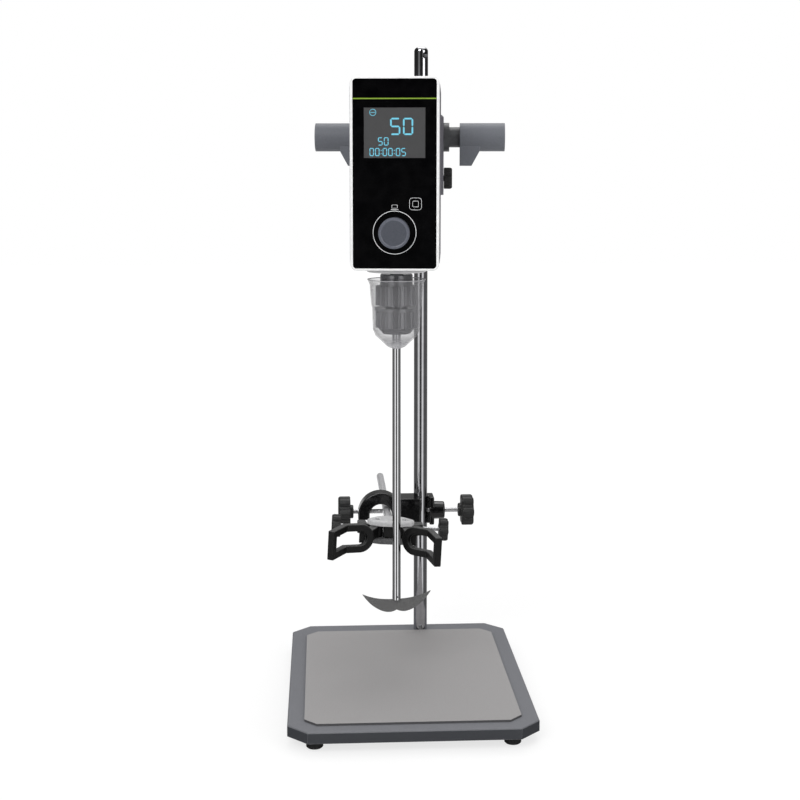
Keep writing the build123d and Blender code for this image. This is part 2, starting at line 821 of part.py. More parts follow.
with BuildPart() as bosshead_body:
    with BuildSketch(top.offset(hold_low)):
        with BuildLine():
            Polyline(
                (hold_left, -hold_front),
                (hold_lip, -hold_front),
                (hold_lip, -seat_r - 0.6),
                (slot_right, -seat_r - 0.6),
                (leg_right, -seat_r - 0.6),
                (leg_right, hold_back),
                (hold_left, hold_back),
                close=True,
            )
        make_face()
        Circle(seat_r, mode=Mode.SUBTRACT)
        with Locations((slot_right / 2, -hold_front / 2)):
            Rectangle(slot_right, hold_front, mode=Mode.SUBTRACT)
    extrude(amount=hold_high - hold_low)
    with BuildSketch(face.offset(-arch_half)):
        with Locations((arch_x, arch_z)):
            Circle(arch_out)
        with Locations((arch_x, (arch_z + arch_low) / 2)):
            Rectangle(2 * arch_out, arch_z - arch_low)
        with Locations((arch_x, arch_low - arch_out)):
            Rectangle(2 * arch_out, 2 * arch_out, mode=Mode.SUBTRACT)
    extrude(amount=2 * arch_half)
    with BuildSketch(face.offset(-arch_half)):
        with Locations((arch_x, arch_z)):
            Circle(arch_in)
        with Locations((arch_x, arch_z - arch_out)):
            Rectangle(2 * arch_in, 2 * arch_out)
    extrude(amount=2 * arch_half, mode=Mode.SUBTRACT)
    with BuildSketch(flank.offset(slot_right)):
        with Locations((0, screw_z)):
            Circle(screw_boss_d / 2)
    extrude(amount=boss_end - slot_right, taper=2)
    with BuildSketch(flank.offset(seat_r - 1)):
        with Locations((0, screw_z)):
            Circle(screw_d / 2 + run)
    extrude(amount=boss_end, mode=Mode.SUBTRACT)
    with BuildSketch(flank.offset(arch_x - arch_out - 1)):
        with Locations((0, rod_z)):
            Circle(screw_d / 2 + run)
    extrude(amount=arch_out, mode=Mode.SUBTRACT)

# Screws of the boss head with their knobs
rod_left = rod_x - clamp_rod_d / 2
with BuildPart() as column_screw:
    with BuildSketch(flank.offset(col_r + gap)):
        with Locations((0, screw_z)):
            Circle(screw_d / 2)
    extrude(amount=column_knob_x + 10 - col_r - gap)
with BuildPart() as rod_screw:
    with BuildSketch(flank.offset(rod_left - gap)):
        with Locations((0, rod_z)):
            Circle(screw_d / 2)
    extrude(amount=rod_knob_x - 10 - rod_left + gap)
big_knobs = {}
for knob_name, knob_x, sx, kz in (
    ("column_knob", column_knob_x, 1, screw_z),
    ("rod_knob", rod_knob_x, -1, rod_z),
):
    with BuildPart() as big_knob:
        with BuildSketch(flank.offset(knob_x + sx * big_hub_t)):
            with Locations((0, kz)):
                lobed(big_knob_d, 6, 5.2)
        extrude(amount=sx * (big_knob_t - 2))
        with BuildSketch(flank.offset(knob_x + sx * (big_hub_t + big_knob_t - 2))):
            with Locations((0, kz)):
                lobed(big_knob_d, 6, 5.2)
        extrude(amount=sx * 2, taper=30)
        with BuildSketch(flank.offset(knob_x)):
            with Locations((0, kz)):
                Circle(big_hub_d / 2)
        extrude(amount=sx * (big_hub_t + 1))
        with BuildSketch(flank.offset(knob_x)):
            with Locations((0, kz)):
                Circle(screw_d / 2)
        extrude(amount=sx * 10, mode=Mode.SUBTRACT)
    big_knobs[knob_name] = big_knob

# Flask clamp, in its own frame: origin on the clamp rod's axis beside the column, rolled about the rod
roll = 3
clamp = Plane(
    origin=(col_x + rod_x, col_y, rod_z),
    x_dir=(cos(radians(roll)), 0, -sin(radians(roll))),
    z_dir=(sin(radians(roll)), 0, cos(radians(roll))),
)
clamp_side = Plane(origin=clamp.origin, x_dir=(0, 1, 0), z_dir=clamp.x_dir)
clamp_face = Plane(origin=clamp.origin, x_dir=clamp.x_dir, z_dir=(0, -1, 0))
rod_tail = 167
yoke_front = -89
yoke_back = -64
yoke_half = 23.5
yoke_top = 11.5
yoke_gap = 5.9  # half the gap between the two plates
yoke_low = -11.5
web_half = 5
web_front = -72
neck_back = -44
neck_clamp_d = 12
rod_front = neck_back - 14
pivot_x = 13.6
pivot_y = -79
pivot_d = 4
arm_half = yoke_gap - gap
hub_r = 6.2
jaw_start = 28  # from the pivot forward to the loop's front
jaw_in = 12.5  # from the pivot outward to the loop's round end
jaw_main = 30
jaw_bent = 33
jaw_bend = 47
jaw_bar = 7
jaw_deep = 6.5
jaw_high_half = 14
jaw_rest = {"left": 17, "right": 32}
jaw_screw_y = -66.6
jaw_screw_d = 4
jaw_knob_x = 49
jaw_knob_t = 9
jaw_knob_d = 23
jaw_screw_free = 3.2  # from the screw's tip to the web, so that the jaw can open

with BuildPart() as clamp_rod:
    with BuildSketch(clamp_face.offset(-rod_tail)):
        Circle(clamp_rod_d / 2)
    extrude(amount=rod_tail - rod_front)
    chamfer(clamp_rod.faces().sort_by(Axis.Y)[-1].edges(), length=0.8)

yoke_plan = [
    (-yoke_half, pivot_y + 2),
    (-yoke_half + 3, yoke_front + 4),
    (-10, yoke_front),
    (10, yoke_front),
    (yoke_half - 3, yoke_front + 4),
    (yoke_half, pivot_y + 2),
    (yoke_half - 9, yoke_back - 4),
    (8, yoke_back),
    (-8, yoke_back),
    (-yoke_half + 9, yoke_back - 4),
]
with BuildPart() as clamp_body:
    with BuildSketch(clamp.offset(yoke_gap)):
        Polygon(*yoke_plan, align=None)
        with Locations((-pivot_x, pivot_y), (pivot_x, pivot_y)):
            Circle(pivot_d / 2, mode=Mode.SUBTRACT)
    extrude(amount=yoke_top - yoke_gap)
    chamfer(clamp_body.faces().sort_by(Axis.Z)[-1].edges(), length=1.5)
    with BuildSketch(clamp.offset(-yoke_gap)):
        with Locations((0, (web_front + yoke_back) / 2)):
            Rectangle(2 * web_half, yoke_back - web_front)
    extrude(amount=2 * yoke_gap)
    with BuildSketch(clamp_face.offset(-yoke_back)):
        Circle(neck_clamp_d / 2)
    extrude(amount=-(neck_back - yoke_back))
    with BuildSketch(clamp_face.offset(-neck_back)):
        Circle(clamp_rod_d / 2)
    extrude(amount=neck_back - rod_front, mode=Mode.SUBTRACT)

with BuildPart() as clamp_lower_plate:
    with BuildSketch(clamp.offset(yoke_low)):
        Polygon(*yoke_plan, align=None)
        with Locations((-pivot_x, pivot_y), (pivot_x, pivot_y)):
            Circle(pivot_d / 2, mode=Mode.SUBTRACT)
    extrude(amount=-yoke_gap - yoke_low)

jaw_pins = {}
jaws = {}
jaw_screws = {}
jaw_knobs = {}
for which, sx in (("left", -1), ("right", 1)):
    rest = jaw_rest[which]
    px = sx * pivot_x
    with BuildPart() as jaw_pin:
        with BuildSketch(clamp.offset(yoke_low)):
            with Locations((px, pivot_y)):
                Circle(pivot_d / 2)
        extrude(amount=yoke_top - yoke_low)
    jaw_pins[which] = jaw_pin

    # The jaw's own frame: origin on its pivot, x outward along the main part of the loop
    ux = (cos(radians(rest)) * sx, -sin(radians(rest)), 0)
    pivot = clamp.from_local_coords((px, pivot_y, 0))
    out_dir = clamp.x_dir * ux[0] + clamp.y_dir * ux[1]
    ahead_dir = clamp.x_dir * (sx * -sin(radians(rest))) + clamp.y_dir * (-cos(radians(rest)))
    flat = Plane(origin=pivot, x_dir=out_dir, z_dir=clamp.z_dir * sx * -1)
    # flat: sketch x outward, sketch y forward
    loop = Plane(origin=pivot + ahead_dir * (jaw_start - jaw_deep), x_dir=out_dir, z_dir=ahead_dir)
    bend = radians(jaw_bend)
    x0 = jaw_in
    x1 = x0 + jaw_main
    y0 = jaw_start - jaw_deep
    bx = cos(bend)
    by = sin(bend)
    with BuildPart() as jaw:
        # the bent loop seen from above, as high as the loop
        with BuildSketch(flat.offset(-jaw_high_half)):
            with BuildLine():
                Polyline(
                    (x0, y0),
                    (x1, y0),
                    (x1 + jaw_bent * bx, y0 + jaw_bent * by),
                    (x1 + jaw_bent * bx - jaw_deep * by, y0 + jaw_bent * by + jaw_deep * bx),
                    (x1 - jaw_deep * (1 - bx) / by, y0 + jaw_deep),
                    (x0, y0 + jaw_deep),
                    close=True,
                )
            make_face()
        extrude(amount=2 * jaw_high_half)
        # its inner end is round and its window is cut through forward
        with BuildSketch(loop.offset(-1)):
            with Locations((x0 + jaw_high_half / 2, 0)):
                Rectangle(jaw_high_half, 2 * jaw_high_half + 2)
            with Locations((x0 + jaw_high_half, 0)):
                Circle(jaw_high_half, mode=Mode.SUBTRACT)
        extrude(amount=jaw_deep + 2, mode=Mode.SUBTRACT)
        inner = jaw_high_half - jaw_bar
        with BuildSketch(loop.offset(-1)):
            with Locations((x0 + jaw_high_half, 0)):
                Circle(inner)
            with Locations((x0 + jaw_high_half + (jaw_main - jaw_high_half) / 2 + 1, 0)):
                Rectangle(jaw_main - jaw_high_half + 2, 2 * inner)
        extrude(amount=jaw_deep + 2, mode=Mode.SUBTRACT)
        with BuildSketch(flat.offset(-inner)):
            with BuildLine():
                Polyline(
                    (x1 - 2, y0 - 2),
                    (x1 + 1, y0 - 2),
                    (x1 + (jaw_bent - jaw_bar) * bx + 2 * by, y0 + (jaw_bent - jaw_bar) * by - 2 * bx),
                    (x1 + (jaw_bent - jaw_bar) * bx - 9 * by, y0 + (jaw_bent - jaw_bar) * by + 9 * bx),
                    (x1 - 2, y0 + jaw_deep + 4),
                    close=True,
                )
            make_face()
        extrude(amount=2 * inner, mode=Mode.SUBTRACT)
        # the arm from the pivot to the loop, and the lug for the adjusting screw
        with BuildSketch(clamp.offset(-arm_half)):
            with Locations((px, pivot_y)):
                Circle(hub_r)
        extrude(amount=2 * arm_half)
        with BuildSketch(flat.offset(-arm_half)):
            with BuildLine():
                Polyline(
                    (-hub_r + 1, 0),
                    (hub_r - 1, 0),
                    (x0 + 14, y0 + 2),
                    (x0 + 2, y0 + 2),
                    close=True,
                )
            make_face()
        extrude(amount=2 * arm_half)
        with BuildSketch(clamp.offset(-arm_half)):
            with BuildLine():
                Polyline(
                    (px + sx * 2, pivot_y - hub_r + 1.5),
                    (px + sx * 19, jaw_screw_y - 5),
                    (px + sx * 19, jaw_screw_y + 5),
                    (px + sx * 11, jaw_screw_y + 5),
                    (px + sx * 9, pivot_y + 5),
                    (px, pivot_y + hub_r - 1),
                    close=True,
                )
            make_face()
        extrude(amount=2 * arm_half)
        with BuildSketch(clamp.offset(-arm_half)):
            with Locations((px, pivot_y)):
                Circle(pivot_d / 2 + run)
        extrude(amount=2 * arm_half, mode=Mode.SUBTRACT)
        with BuildSketch(clamp_side.offset(px)):
            with Locations((jaw_screw_y, 0)):
                Circle(jaw_screw_d / 2 + run)
        extrude(amount=sx * 30, mode=Mode.SUBTRACT)
    jaws[which] = jaw

    with BuildPart() as jaw_screw:
        with BuildSketch(clamp_side.offset(sx * (web_half + jaw_screw_free))):
            with Locations((jaw_screw_y, 0)):
                Circle(jaw_screw_d / 2)
        extrude(amount=sx * (jaw_knob_x + jaw_knob_t - 2 - web_half - jaw_screw_free))
    jaw_screws[which] = jaw_screw
    with BuildPart() as jaw_knob:
        with BuildSketch(clamp_side.offset(sx * jaw_knob_x)):
            with Locations((jaw_screw_y, 0)):
                lobed(jaw_knob_d, 6, 3.3)
                Circle(jaw_screw_d / 2, mode=Mode.SUBTRACT)
        extrude(amount=sx * (jaw_knob_t - 2))
        with BuildSketch(clamp_side.offset(sx * (jaw_knob_x + jaw_knob_t - 2))):
            with Locations((jaw_screw_y, 0)):
                lobed(jaw_knob_d, 6, 3.3)
        extrude(amount=sx * 2, taper=25)
    jaw_knobs[which] = jaw_knob

# All pieces by name
pieces = {
    "base_plate": base_plate,
    "base_mat": base_mat,
    **feet,
    "column_lower": column_lower,
    "column_upper": column_upper,
    "column_stud": column_stud,
    "column_nut": column_nut,
    "guide_bush": guide_bush,
    "carriage_body": carriage_body,
    **necks,
    **grips,
    "lock_screw": lock_screw,
    "lock_knob": lock_knob,
    "support_bar": support_bar,
    "arm_flange": arm_flange,
    "rear_housing": rear_housing,
    "front_bezel": front_bezel,
    "front_panel": front_panel,
    "display_module": display_module,
    "circuit_board": circuit_board,
    "encoder_body": encoder_body,
    "encoder_plunger": encoder_plunger,
    "control_knob": control_knob,
    "bearing_boss": bearing_boss,
    "spindle_bearing": spindle_bearing,
    "motor_can": motor_can,
    "spindle": spindle,
    "chuck_body": chuck_body,
    "chuck_sleeve": chuck_sleeve,
    **chuck_jaws,
    "stirring_rod": stirring_rod,
    "paddle": paddle,
    "paddle_pin": paddle_pin,
    "chuck_guard": chuck_guard,
    "guard_funnel": guard_funnel,
    "dc_jack": dc_jack,
    "switch_rocker": switch_rocker,
    "bosshead_body": bosshead_body,
    "column_screw": column_screw,
    "rod_screw": rod_screw,
    **big_knobs,
    "clamp_rod": clamp_rod,
    "clamp_body": clamp_body,
    "clamp_lower_plate": clamp_lower_plate,
    "jaw_pin_left": jaw_pins["left"],
    "jaw_pin_right": jaw_pins["right"],
    "jaw_left": jaws["left"],
    "jaw_right": jaws["right"],
    "jaw_screw_left": jaw_screws["left"],
    "jaw_screw_right": jaw_screws["right"],
    "jaw_knob_left": jaw_knobs["left"],
    "jaw_knob_right": jaw_knobs["right"],
}
for label, piece in pieces.items():
    piece.part.label = label
    export_step(piece.part, f"parts/{label}.step")
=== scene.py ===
from math import cos, pi, radians, sin

import bmesh
import bpy
from mathutils import Matrix, Vector


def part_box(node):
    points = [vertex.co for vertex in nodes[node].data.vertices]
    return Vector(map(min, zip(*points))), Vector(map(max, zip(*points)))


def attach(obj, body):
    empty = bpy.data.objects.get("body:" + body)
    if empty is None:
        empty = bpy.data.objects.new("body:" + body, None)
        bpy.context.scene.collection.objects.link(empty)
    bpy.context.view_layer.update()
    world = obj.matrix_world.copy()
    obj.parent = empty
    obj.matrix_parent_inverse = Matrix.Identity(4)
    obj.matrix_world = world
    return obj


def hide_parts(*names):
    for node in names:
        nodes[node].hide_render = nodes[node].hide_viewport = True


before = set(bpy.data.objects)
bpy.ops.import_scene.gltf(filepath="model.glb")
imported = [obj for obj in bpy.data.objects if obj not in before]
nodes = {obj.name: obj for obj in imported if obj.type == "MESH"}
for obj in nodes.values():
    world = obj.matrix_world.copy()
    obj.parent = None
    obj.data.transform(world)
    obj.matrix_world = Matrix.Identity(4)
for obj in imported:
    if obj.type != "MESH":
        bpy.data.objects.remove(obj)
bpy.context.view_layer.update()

# Base plate: a 10 mm steel plate with its corners cut off, sprayed with a fine textured grey powder
# coat. The texture shows as a faint sparkle on the flat top. The edges get a paler painted highlight,
# and the faces that don't look up a darker painted shade.
PLATE_TOP = (124, 125, 130)
PLATE_DARK = (110, 111, 116)
PLATE_SIDE = (54, 56, 61)
PLATE_EDGE_HIGHLIGHT = (146, 148, 152)
PLATE_ROUNDING = 0.0007
POWDER_GRAIN = 1400
POWDER_RELIEF = 0.00012
NOISE_LOW = 0.3
NOISE_HIGH = 0.7
MIX_FIRST = 6
MIX_SECOND = 7
MIX_COLOUR = 2
ROUNDING_SAMPLES = 6
HIGHLIGHT_STARTS = 0.985
HIGHLIGHT_IS_FULL = 0.8


def tone(rgb):
    """A colour read on the scale from 0 to 255, as the linear one that a shader takes."""
    return tuple(((c / 255 + 0.055) / 1.055) ** 2.4 if c > 10 else c / 255 / 12.92 for c in rgb) + (1,)


def shader_of(mat):
    return mat.node_tree.nodes["Principled BSDF"]


def new_finish(name, colour, roughness, metallic=0.0):
    mat = bpy.data.materials.new(name)
    mat.use_nodes = True
    shader_of(mat).inputs["Base Color"].default_value = tone(colour)
    shader_of(mat).inputs["Roughness"].default_value = roughness
    shader_of(mat).inputs["Metallic"].default_value = metallic
    return mat


def noise_on(mat, scale, detail=3.0, stretch=(1, 1, 1)):
    """Noise in the piece's own space, with its scale in waves per metre."""
    tree = mat.node_tree
    place = tree.nodes.new("ShaderNodeTexCoord")
    spread = tree.nodes.new("ShaderNodeMapping")
    spread.inputs["Scale"].default_value = stretch
    noise = tree.nodes.new("ShaderNodeTexNoise")
    noise.inputs["Scale"].default_value = scale
    noise.inputs["Detail"].default_value = detail
    tree.links.new(place.outputs["Object"], spread.inputs["Vector"])
    tree.links.new(spread.outputs["Vector"], noise.inputs["Vector"])
    return noise


def mottle(mat, noise, dark, light, low=0.35, high=0.65):
    """The noise turned into the base colour between a dark and a light tone."""
    ramp = mat.node_tree.nodes.new("ShaderNodeValToRGB")
    ramp.color_ramp.elements[0].position = low
    ramp.color_ramp.elements[1].position = high
    ramp.color_ramp.elements[0].color = tone(dark)
    ramp.color_ramp.elements[1].color = tone(light)
    mat.node_tree.links.new(noise.outputs["Fac"], ramp.inputs["Fac"])
    mat.node_tree.links.new(ramp.outputs["Color"], shader_of(mat).inputs["Base Color"])


def vary_roughness(mat, noise, low, high):
    """The noise turned into the roughness between those two values."""
    spread = mat.node_tree.nodes.new("ShaderNodeMapRange")
    spread.inputs["From Min"].default_value = NOISE_LOW
    spread.inputs["From Max"].default_value = NOISE_HIGH
    spread.inputs["To Min"].default_value = low
    spread.inputs["To Max"].default_value = high
    mat.node_tree.links.new(noise.outputs["Fac"], spread.inputs["Value"])
    mat.node_tree.links.new(spread.outputs["Result"], shader_of(mat).inputs["Roughness"])


def relief(mat, noise, height, strength=1.0):
    """The noise as a bump of that height in metres."""
    bump = mat.node_tree.nodes.new("ShaderNodeBump")
    bump.inputs["Distance"].default_value = height
    bump.inputs["Strength"].default_value = strength
    mat.node_tree.links.new(noise.outputs["Fac"], bump.inputs["Height"])
    mat.node_tree.links.new(bump.outputs["Normal"], shader_of(mat).inputs["Normal"])


def blend(mat, colour, share, where_full=True):
    """Another colour mixed into the base colour: all of it where the share is 1, or else where it is 0."""
    tree = mat.node_tree
    base = shader_of(mat).inputs["Base Color"]
    own, other = (MIX_FIRST, MIX_SECOND) if where_full else (MIX_SECOND, MIX_FIRST)
    mixed = tree.nodes.new("ShaderNodeMix")
    mixed.data_type = "RGBA"
    mixed.inputs[other].default_value = tone(colour)
    tree.links.new(base.links[0].from_socket, mixed.inputs[own])
    tree.links.new(share, mixed.inputs["Factor"])
    tree.links.new(mixed.outputs[MIX_COLOUR], base)


def soften(mat, radius, edge_highlight=None):
    """Lets light run round a piece's edges as if they had that radius in metres.

    With an edge colour it also paints the edges that colour as a painted highlight, on finishes that are
    mottled already.
    """
    tree = mat.node_tree
    rounding = tree.nodes.new("ShaderNodeBevel")
    rounding.samples = ROUNDING_SAMPLES
    rounding.inputs["Radius"].default_value = radius
    normal = shader_of(mat).inputs["Normal"]
    if normal.links:
        normal = normal.links[0].from_node.inputs["Normal"]
    tree.links.new(rounding.outputs["Normal"], normal)
    # Painted highlight: where the rounded normal turns away from the flat one, the base colour goes to the
    # edge colour.
    if edge_highlight:
        flat = tree.nodes.new("ShaderNodeNewGeometry")
        alike = tree.nodes.new("ShaderNodeVectorMath")
        alike.operation = "DOT_PRODUCT"
        tree.links.new(rounding.outputs["Normal"], alike.inputs[0])
        tree.links.new(flat.outputs["Normal"], alike.inputs[1])
        highlight_share = tree.nodes.new("ShaderNodeMapRange")
        highlight_share.inputs["From Min"].default_value = HIGHLIGHT_STARTS
        highlight_share.inputs["From Max"].default_value = HIGHLIGHT_IS_FULL
        tree.links.new(alike.outputs["Value"], highlight_share.inputs["Value"])
        blend(mat, edge_highlight, highlight_share.outputs["Result"])


def shade_sides(mat, side):
    """Faces that don't look up get a tone of their own, as they lie in the shade of what is above them."""
    tree = mat.node_tree
    facing = tree.nodes.new("ShaderNodeTexCoord")
    axes = tree.nodes.new("ShaderNodeSeparateXYZ")
    tree.links.new(facing.outputs["Normal"], axes.inputs["Vector"])
    blend(mat, side, axes.outputs["Z"], where_full=False)


def dress(mat, *names):
    """Gives the finish to nodes that keep their own mesh."""
    for name in names:
        for place in nodes[name].material_slots:
            place.material = mat


powder_coat = new_finish("grey_powder_coat", PLATE_TOP, roughness=0.5)
powder_grain = noise_on(powder_coat, scale=POWDER_GRAIN)
mottle(powder_coat, powder_grain, PLATE_DARK, PLATE_TOP)
vary_roughness(powder_coat, powder_grain, low=0.42, high=0.58)
relief(powder_coat, powder_grain, POWDER_RELIEF, strength=0.35)
shade_sides(powder_coat, PLATE_SIDE)
# Painted highlight: the plate's edges go to a paler grey.
soften(powder_coat, PLATE_ROUNDING, PLATE_EDGE_HIGHLIGHT)
dress(powder_coat, "base_plate")

# Mat: a 2 mm sheet of light grey rubber that lies in the middle of the plate. It is calendered
# smooth, with a fine even mottle and hardly any shine.
MAT_LIGHT = (160, 158, 158)
MAT_DARK = (150, 148, 148)
MAT_SIDE = (84, 84, 86)
MAT_RELIEF = 0.00008

sheet_rubber = new_finish("light_grey_sheet_rubber", MAT_LIGHT, roughness=0.7)
sheet_grain = noise_on(sheet_rubber, scale=900, detail=4)
mottle(sheet_rubber, sheet_grain, MAT_DARK, MAT_LIGHT)
vary_roughness(sheet_rubber, sheet_grain, low=0.62, high=0.78)
relief(sheet_rubber, sheet_grain, MAT_RELIEF, strength=0.3)
shade_sides(sheet_rubber, MAT_SIDE)
dress(sheet_rubber, "base_mat")

# Feet: four moulded black rubber feet under the corners of the plate. They are screwed on from below
# and are dull all over.
FOOT_DARK = (12, 12, 13)
FOOT_LIGHT = (24, 24, 25)
FOOT_RELIEF = 0.0001

foot_rubber = new_finish("black_foot_rubber", (16, 16, 17), roughness=0.6)
foot_grain = noise_on(foot_rubber, scale=700)
mottle(foot_rubber, foot_grain, FOOT_DARK, FOOT_LIGHT)
vary_roughness(foot_rubber, foot_grain, low=0.5, high=0.72)
relief(foot_rubber, foot_grain, FOOT_RELIEF, strength=0.3)
dress(foot_rubber, "foot_front_left", "foot_front_right", "foot_rear_left", "foot_rear_right")

# Bars: drawn and ground stainless steel. The stirring rod is polished brightest and the column a
# little less, and the rod of the clamp and the bar that bears the head are left satin.
ROD_DARK = (226, 226, 228)
ROD_LIGHT = (232, 232, 234)
COLUMN_DARK = (190, 190, 193)
COLUMN_LIGHT = (198, 198, 201)
SATIN_DARK = (216, 216, 218)
SATIN_LIGHT = (228, 228, 230)

polished_bar = new_finish("polished_stainless", (224, 224, 226), roughness=0.12, metallic=1.0)
wheel_marks = noise_on(polished_bar, scale=60, detail=2, stretch=(0.6, 0.6, 3))
mottle(polished_bar, wheel_marks, ROD_DARK, ROD_LIGHT)
vary_roughness(polished_bar, wheel_marks, low=0.08, high=0.1)
dress(polished_bar, "stirring_rod")

column_bar = new_finish("polished_column", (196, 196, 199), roughness=0.12, metallic=1.0)
column_marks = noise_on(column_bar, scale=60, detail=2, stretch=(0.6, 0.6, 3))
mottle(column_bar, column_marks, COLUMN_DARK, COLUMN_LIGHT)
vary_roughness(column_bar, column_marks, low=0.08, high=0.1)
dress(column_bar, "column_lower", "column_upper")

clamp_bar = new_finish("satin_stainless", (224, 224, 226), roughness=0.35, metallic=0.55)
clamp_marks = noise_on(clamp_bar, scale=60, detail=2, stretch=(2, 6, 2))
mottle(clamp_bar, clamp_marks, SATIN_DARK, SATIN_LIGHT)
vary_roughness(clamp_bar, clamp_marks, low=0.3, high=0.36)
dress(clamp_bar, "clamp_rod", "support_bar")

# Screws, stud, nut and pins: turned steel with a bright zinc plating, a little cloudy. The plunger
# behind the control knob is of the same steel.
ZINC_DARK = (200, 200, 202)
ZINC_LIGHT = (226, 226, 228)

zinc = new_finish("bright_zinc", (214, 214, 216), roughness=0.3, metallic=0.8)
zinc_cloud = noise_on(zinc, scale=420, detail=3)
mottle(zinc, zinc_cloud, ZINC_DARK, ZINC_LIGHT)
vary_roughness(zinc, zinc_cloud, low=0.22, high=0.4)
dress(zinc, "column_screw", "rod_screw", "lock_screw", "jaw_screw_left", "jaw_screw_right", "column_nut",
      "column_stud", "jaw_pin_left", "jaw_pin_right", "encoder_plunger")

# Carriage and its bush: a cast block, painted satin grey like the head, that turns on a black nylon
# bush which slides on the column.
CARRIAGE_DARK = (96, 94, 101)
CARRIAGE_LIGHT = (110, 108, 115)
CARRIAGE_RELIEF = 0.0001
BUSH_DARK = (26, 26, 28)
BUSH_LIGHT = (34, 34, 36)

carriage_coat = new_finish("satin_grey_coat", (104, 102, 109), roughness=0.42)
carriage_grain = noise_on(carriage_coat, scale=800)
mottle(carriage_coat, carriage_grain, CARRIAGE_DARK, CARRIAGE_LIGHT)
vary_roughness(carriage_coat, carriage_grain, low=0.36, high=0.5)
relief(carriage_coat, carriage_grain, CARRIAGE_RELIEF, strength=0.25)
dress(carriage_coat, "carriage_body", "arm_flange")

bush_nylon = new_finish("black_bush_nylon", (30, 30, 32), roughness=0.5)
bush_grain = noise_on(bush_nylon, scale=800)
mottle(bush_nylon, bush_grain, BUSH_DARK, BUSH_LIGHT)
dress(bush_nylon, "guide_bush")

# Necks of the handles: turned dark grey collars, satin, that join the grips to the two sides of the
# carriage.
NECK_DARK = (68, 69, 71)
NECK_LIGHT = (84, 85, 87)

neck_coat = new_finish("dark_grey_collar", (76, 77, 79), roughness=0.4)
neck_grain = noise_on(neck_coat, scale=500, detail=2, stretch=(8, 1, 1))
mottle(neck_coat, neck_grain, NECK_DARK, NECK_LIGHT)
vary_roughness(neck_coat, neck_grain, low=0.32, high=0.46)
dress(neck_coat, "neck_left", "neck_right")

# Grips: moulded grey plastic sleeves with a hand stop, one on each neck. Their skin is spark textured
# and quite matte, and their edges are slightly rounded.
GRIP_DARK = (101, 104, 110)
GRIP_LIGHT = (112, 115, 122)
GRIP_RELIEF = 0.0001
GRIP_ROUNDING = 0.0008

grip_plastic = new_finish("grey_grip_plastic", GRIP_LIGHT, roughness=0.5)
grip_grain = noise_on(grip_plastic, scale=1300)
mottle(grip_plastic, grip_grain, GRIP_DARK, GRIP_LIGHT)
vary_roughness(grip_plastic, grip_grain, low=0.45, high=0.62)
relief(grip_plastic, grip_grain, GRIP_RELIEF, strength=0.3)
soften(grip_plastic, GRIP_ROUNDING)
dress(grip_plastic, "grip_left", "grip_right")

# Knobs of the boss head, the carriage and the jaws: black thermoset with a dull moulded skin, their
# edges rounded in the mould and given a pale painted highlight. The power switch's rocker is of the
# same plastic.
THERMOSET_DARK = (26, 26, 26)
THERMOSET_LIGHT = (40, 40, 40)
THERMOSET_EDGE_HIGHLIGHT = (78, 78, 78)
THERMOSET_RELIEF = 0.0001
THERMOSET_ROUNDING = 0.001
LOCK_KNOB_EDGE = 0.0009
SCREW_KNOB_EDGE = 0.0013
JAW_KNOB_EDGE = 0.0011
WELD = 1e-6
STRAIGHT = radians(1)
SHARP = radians(35)
ORDER = Vector((1, 7.3, 51.7))


def piece_from(bm, name, mat, body, place=None):
    """Puts a finished mesh in the scene, with its place in its points, on a body.

    Points and faces are sorted by where they are, so that every run gives the same mesh.
    """
    mesh = bpy.data.meshes.new(name)
    if place:
        bmesh.ops.transform(bm, matrix=place, verts=bm.verts)
    bm.verts.sort(key=lambda v: v.co.dot(ORDER))
    bm.faces.sort(key=lambda f: f.calc_center_median().dot(ORDER))
    bm.to_mesh(mesh)
    bm.free()
    made = bpy.data.objects.new(name, mesh)
    bpy.context.scene.collection.objects.link(made)
    made.data.materials.append(mat)
    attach(made, body)
    return made


def rounded(name, mat, body, radius, bore=None):
    """A node's own shape with its outer edges rounded to that radius in metres, in the node's place.

    The edges of an upright bore, given as its middle and radius, stay as they are.
    """
    bm = bmesh.new()
    bm.from_mesh(nodes[name].data)
    bmesh.ops.remove_doubles(bm, verts=bm.verts, dist=WELD)
    bmesh.ops.dissolve_limit(bm, angle_limit=STRAIGHT, verts=bm.verts, edges=bm.edges)
    sharp = [e for e in bm.edges if e.is_convex and e.calc_face_angle(0) > SHARP]
    if bore:
        middle, reach = bore
        sharp = [e for e in sharp if any((v.co.xy - middle).length > reach for v in e.verts)]
    bmesh.ops.bevel(bm, geom=sharp, offset=radius, offset_type="OFFSET", segments=3, profile=0.5,
                    affect="EDGES", material=-1)
    for face in bm.faces:
        face.smooth = True
    for edge in bm.edges:
        edge.smooth = edge.calc_face_angle(0) < SHARP
    made = piece_from(bm, name + "_rounded", mat, body)
    flats = made.modifiers.new("flats", "WEIGHTED_NORMAL")
    flats.keep_sharp = True
    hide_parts(name)


thermoset = new_finish("black_thermoset", (32, 32, 32), roughness=0.4)
thermoset_grain = noise_on(thermoset, scale=900)
mottle(thermoset, thermoset_grain, THERMOSET_DARK, THERMOSET_LIGHT)
vary_roughness(thermoset, thermoset_grain, low=0.38, high=0.55)
relief(thermoset, thermoset_grain, THERMOSET_RELIEF, strength=0.25)
